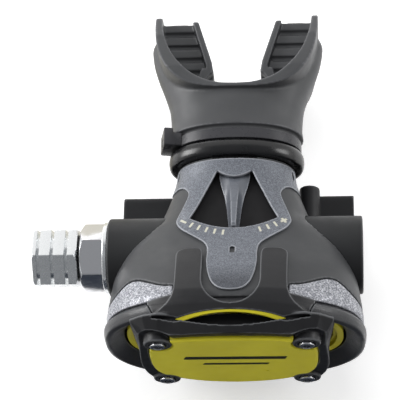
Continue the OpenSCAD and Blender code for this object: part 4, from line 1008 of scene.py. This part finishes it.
ring_y = NECK_Y + 0.15
bead = [(-1.4, 0.0), (0.5, 0.05), (1.6, 0.9), (2.0, 3.0), (1.6, 5.1), (0.5, 5.95), (-1.4, 6.0)]
rings = [on_y(oval(NECK_A + g, NECK_B + g, NECK_N), ring_y + y) for g, y in curve_through(bead, 4)]
rings += [on_y(spigot_outline(0.1), ring_y + y) for y in (6.0, 0.0)]
place("neck_bead", skin(rings, True), RUBBER, ["neck_ring"], sharp=50)

MOUTH_Y0, MOUTH_Y = NECK_Y + 6.3, 93.9
STRAP, HEAD = 3.8, 5.0
# The mouthpiece's plan is an oval about a point behind its rear edge
LIP_A, LIP_B, LIP_Y = 27.0, 36.0, MOUTH_Y + 3
# Place along Y, half width, half height and squareness
body_table = smooth_table(np.array([
    [MOUTH_Y0 + 5.6, 23.6, 15.5, 2.2], [MOUTH_Y0 + 9, 23.2, 15.1, 2.2], [56, 23.7, 14.5, 2.25],
    [63, 25.7, 13.6, 2.25], [70, 28.3, 12.6, 2.2], [76, 30.0, 11.4, 2.1], [81.9, 30.7, 9.8, 2.0],
    [86, 29.3, 7.8, 2.0], [89, 27.0, 6.0, 2.0],
]))


def groove_outline(grow=0.0):
    """Section of the mouthpiece where the strap lies round it."""
    return oval(NECK_A - 0.2 + grow, NECK_B + 0.2 + grow, NECK_N)


def mouth_plan(grow, rear=0.0, n=2.4):
    return oval(LIP_A + grow, LIP_B + grow + rear, n, 240) + np.array([0, LIP_Y])


rings = [on_y(groove_outline(), y) for y in (MOUTH_Y0, MOUTH_Y0 + 5.4)]
rings += [on_y(oval(*body_table(y)), y) for y in np.linspace(MOUTH_Y0 + 5.6, 89, 60)]
bore = [prism(spigot_outline(0.05), MOUTH_Y0 - 1, NECK_Y + 16.4, "y"),
        prism(oval(AIRWAY_A - 0.2, AIRWAY_B, RIM_N), NECK_Y + 16, 74, "y")]
body = cut(skin(rings), prism(mouth_plan(0.6), -40, 40), *bore)
guard = cut(prism(mouth_plan(2.2, -0.8, 3.3), -30, 30), prism(mouth_plan(0), -40, 40))
guard_half = [(56, 16), (68, 16.4), (MOUTH_Y - 12, 13.4), (MOUTH_Y - 3, 9), (MOUTH_Y, 4)]
guard_side = rounded([(y, -z) for y, z in guard_half] + guard_half[::-1], 4, 8)
guard = cut(common(guard, prism(guard_side, -40, 40, "x")), *bore)
bite_edge = [(9, 68.6), (8.3, 71), (9, 75), (14.2, MOUTH_Y - 2.4), (18, MOUTH_Y - 1.5), (24, MOUTH_Y - 1.5),
             (30, MOUTH_Y - 2.4), (30, 60), (12, 66)]
inside = prism(mouth_plan(0.4), -20, 20)
tabs = common(prism(rounded(bite_edge, [0.5, 0.5, 1, 2, 2, 2, 0, 0, 0.5]), -1.6, 1.6), inside)
ridges = [common(prism([(8, y), (40, y), (40, y + 3.2), (8, y + 3.2)], -3, 3), inside,
                 prism(bite_edge, -4, 4)) for y in MOUTH_Y - 5.6 - 5.2 * np.arange(4)]
wall = [(8.3, 70.4), (9, 75), (14, MOUTH_Y - 2.5), (16.2, MOUTH_Y - 2.5), (11.4, 74.6), (10.6, 70.4)]
wall = prism(rounded(wall, 0.6), -5.6, 5.6)
web = common(prism([(8.3, 71.6), (11.2, 67.6), (12.4, 60), (17, 60), (12.6, 72.4)], -5.6, 5.6), inside)
mouth = join(body, guard, *both_sides(join(tabs, wall, web, *ridges)))
place("mouthpiece_body", moulded(mouth, 0.42, 4, 0.45), MOUTH, ["mouthpiece"])

TIE_Y = MOUTH_Y0 + 0.2
strap = [(0.05, 0.0), (1.1, 0.0), (1.25, 0.15), (1.25, STRAP - 0.15), (1.1, STRAP), (0.05, STRAP)]
strap = skin([on_y(groove_outline(g), TIE_Y + y) for g, y in strap], True)
head = join(block((0, 0, 0), (3.2, HEAD + 1.6, 10)), block((0, 0, 0), (6.4, HEAD, 10)))
head = cut(head, block((-1, 1.4, 3.6), (2, HEAD - 1.0, 6.0)))
head = moved(head, Matrix.Translation((-NECK_A - 5.2, TIE_Y, 1)) @ Matrix.Rotation(math.radians(12), 4, "Y"))
tie = join(strap, cut(bevelled(head, 0.5), prism(groove_outline(0.05), 30, 60, "y")))
place("tie_strap", tie, NYLON, ["cable_tie"], sharp=35)

# ---- exhaust tee ----

TEE_Y0, TEE_Y1, TEE_TOP, TEE_A, BASE = -12.0, 30.0, -12.0, 41.0, -35.0
TEE_WALL = 1.8


def tee_section(inset, radii, steps):
    """The tee's side view, as Y and Z."""
    y0, y1, low, top = TEE_Y0 + inset, TEE_Y1 - inset, BASE + inset, TEE_TOP - inset
    return rounded([(y0, low), (y1, low), (y1, top), (y0, top)], radii, steps)


tee = prism(tee_section(0, [6, 6, 2.4, 2.4], 8), -TEE_A, TEE_A, "x")
stub = rounded([(0.01, 12), (3.65, 12), (3.65, TEE_Y1 + 0.7), (0.01, TEE_Y1 + 0.7)], [0, 0, 0.5, 0])
stub = turned(stub, "y", at=(25.4, 0, TEE_TOP + 3.05), steps=64)
wedge = prism([(29.45, TEE_Y1 - 2.8), (29.05, TEE_Y1 + 1), (29.95, TEE_Y1 + 1)], TEE_TOP - 4, TEE_TOP + 0.1)
hollow = prism(tee_section(TEE_WALL, [4.2, 4.2, 0.8, 0.8], 6), -TEE_A - 1, TEE_A + 1, "x")
seat_room = cylinder(12.2, -28.6, -8, "z", at=EXHAUST)
barrel_room = cylinder(BARREL_R + 0.15, -60, 60, at=(0, BARREL_Y, 0))
tee = cut(join(tee, stub), hollow, wedge, case_form(0.15, -RIM_Y, NECK_Y), seat_room, barrel_room)
place("tee_body", moulded(tee, 0.45, 3, 0.5), TEE, ["exhaust_tee"])

# ---- hidden pieces ----

# Soft pieces: the membrane with its rolled fold, the exhaust valve, two seals and the poppet's face
MEMBRANE_EDGE = -WALL - 0.8


def membrane_part(grow, low, high):
    return prism(rim_outline(MEMBRANE_EDGE + grow), SEAT_Y + low, SEAT_Y + high, "y")


fold = cut(membrane_part(-6, -0.4, 1), membrane_part(-9, -2, 2))
plate_hole = cylinder(3.65, SEAT_Y - 3, SEAT_Y + 1, "y")
membrane = cut(membrane_part(0, -2, -0.05), membrane_part(-4, -3, -0.9), plate_hole, fold)
place("rolled_membrane", membrane, MEMBRANE, ["diaphragm"], sharp=40)
mushroom = turned([(0.01, -28), (10.5, -28), (10.5, -27.1), (1.4, -27.1), (1.4, -24), (0.01, -24)], "z",
                  at=EXHAUST, steps=64)
place("mushroom_valve", mushroom, MEMBRANE, ["exhaust_valve"], sharp=40)
lever_seal = moved(o_ring(1.65, 0.33, (0, 0, -1.4), "z", 32), PIVOT)
place("lever_seal", lever_seal, RUBBER, ["venturi_o_ring"], "venturi")
place("orifice_seal", o_ring(3.9, 0.55, (-30, BARREL_Y, 0)), RUBBER, ["orifice_o_ring"])
valve_seat = turned([(0.01, -24.95), (2.8, -24.95), (2.8, -23.15), (0.01, -23.15)], at=(0, BARREL_Y, 0),
                    steps=48)
place("valve_seat", valve_seat, RUBBER, ["poppet_seat"], "valve", sharp=40)

# The other hidden pieces stay as they are modelled and only get a finish
for n, m in {
    "valve_tube": CHROME, "lever_pin": STEEL, "demand_lever": STEEL, "diaphragm_disc": STEEL,
    "purge_spring": STEEL, "poppet_spring": STEEL, "orifice": BRASS, "spring_plug": BRASS,
    "poppet": WHITE_PLASTIC, "venturi_vane": SLEEVE,
}.items():
    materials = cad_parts[n].data.materials
    materials.clear()
    materials.append(m)

# ---- room and light ----


def seen_directly(tree):
    """1 for rays from the camera and for those that metal sends back or glass lets through, else 0."""
    rays = node(tree, "ShaderNodeLightPath").outputs
    total = rays["Is Camera Ray"]
    for name in ("Is Glossy Ray", "Is Transmission Ray"):
        total = node(tree, "ShaderNodeMath", links={0: total, 1: rays[name]}, operation="ADD").outputs[0]
    return node(tree, "ShaderNodeClamp", links={"Value": total}).outputs[0]


def board_light(tree, unseen, seen):
    """Strength of a white surface: one for lighting, another for the eye."""
    levels = {"To Min": unseen, "To Max": seen}
    return node(tree, "ShaderNodeMapRange", levels, {"Value": seen_directly(tree)}).outputs[0]


WORLD_LIGHT = 0.3
BOARD_GLOW = 0.5
FLOOR_M = 4
world = bpy.data.worlds.new("studio")
SCENE.world = world
world.use_nodes = True
backdrop = world.node_tree.nodes["Background"].inputs
backdrop["Color"].default_value = (1, 1, 1, 1)
world.node_tree.links.new(board_light(world.node_tree, WORLD_LIGHT, 1.0), backdrop["Strength"])

bpy.ops.mesh.primitive_plane_add(size=FLOOR_M)
floor = bpy.context.object
floor.name = "floor"
# Matt white board: it glows a little to the eye, so that it is white all over and still takes a shadow
BOARD = finish("white_board", "#f6f6f6", 0.8, Emission_Color=(1, 1, 1, 1))
use(BOARD, "Emission Strength", board_light(BOARD.node_tree, 0.0, BOARD_GLOW))
floor.data.materials.append(BOARD)
floor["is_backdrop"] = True


def card(name, x, near, far, colour):
    """Flat card that only shows in shiny surfaces, between two X; near and far are its edges' (Y, Z)."""
    mesh = bpy.data.meshes.new(name)
    corners = [(x[0], *near), (x[1], *near), (x[1], *far), (x[0], *far)]
    mesh.from_pydata([CENTRE + Vector(c) * MM for c in corners], [], [(0, 1, 2, 3)])
    glow = {"Emission_Color": linear(colour), "Emission_Strength": 1.0}
    mesh.materials.append(finish(name, "#000000", 1.0, Specular_IOR_Level=0.0, **glow))
    o = add_object(name, mesh)
    o.visible_camera = o.visible_diffuse = o.visible_shadow = o.visible_transmission = False
    o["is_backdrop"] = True


# A grey ceiling and front wall, so that the chrome shows grey bands between white ones
card("ceiling", (-1300, 1300), (-1300, 900), (560, 900), "#96989b")
card("front_wall", (-900, 900), (-700, -20), (-560, 890), "#85878a")
# Two cards just above the floor, for the nut's faces: a dark one in front and a cream one behind at the left
card("low_flag", (-300, 300), (-420, -34), (-36, -34), "#3b4049")
card("rear_board", (-95, -42), (20, -34), (260, -34), "#eae6d9")


def softbox(name, place_mm, size_mm, watts, shown=True):
    """Rectangular lamp that faces the regulator; shown says whether metal mirrors it."""
    light = bpy.data.lights.new(name, "AREA")
    light.shape = "RECTANGLE"
    light.size, light.size_y = size_mm[0] * MM, size_mm[1] * MM
    light.energy = watts
    o = add_object(name, light)
    at = CENTRE + Vector(place_mm) * MM
    aim = CENTRE + Vector((0, 20, 0)) * MM
    o.matrix_world = Matrix.Translation(at) @ (at - aim).to_track_quat("Z", "Y").to_matrix().to_4x4()
    o.visible_glossy = shown


softbox("key", (-600, 180, 330), (350, 350), 3.2)
softbox("top", (0, 190, 840), (500, 300), 2.0, shown=False)
softbox("side", (600, 150, 380), (300, 300), 1.3)
softbox("rear_strip", (-270, 760, 70), (200, 120), 0.3)

[[list(corner) for corner in b] for b in (cad_box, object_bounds())]
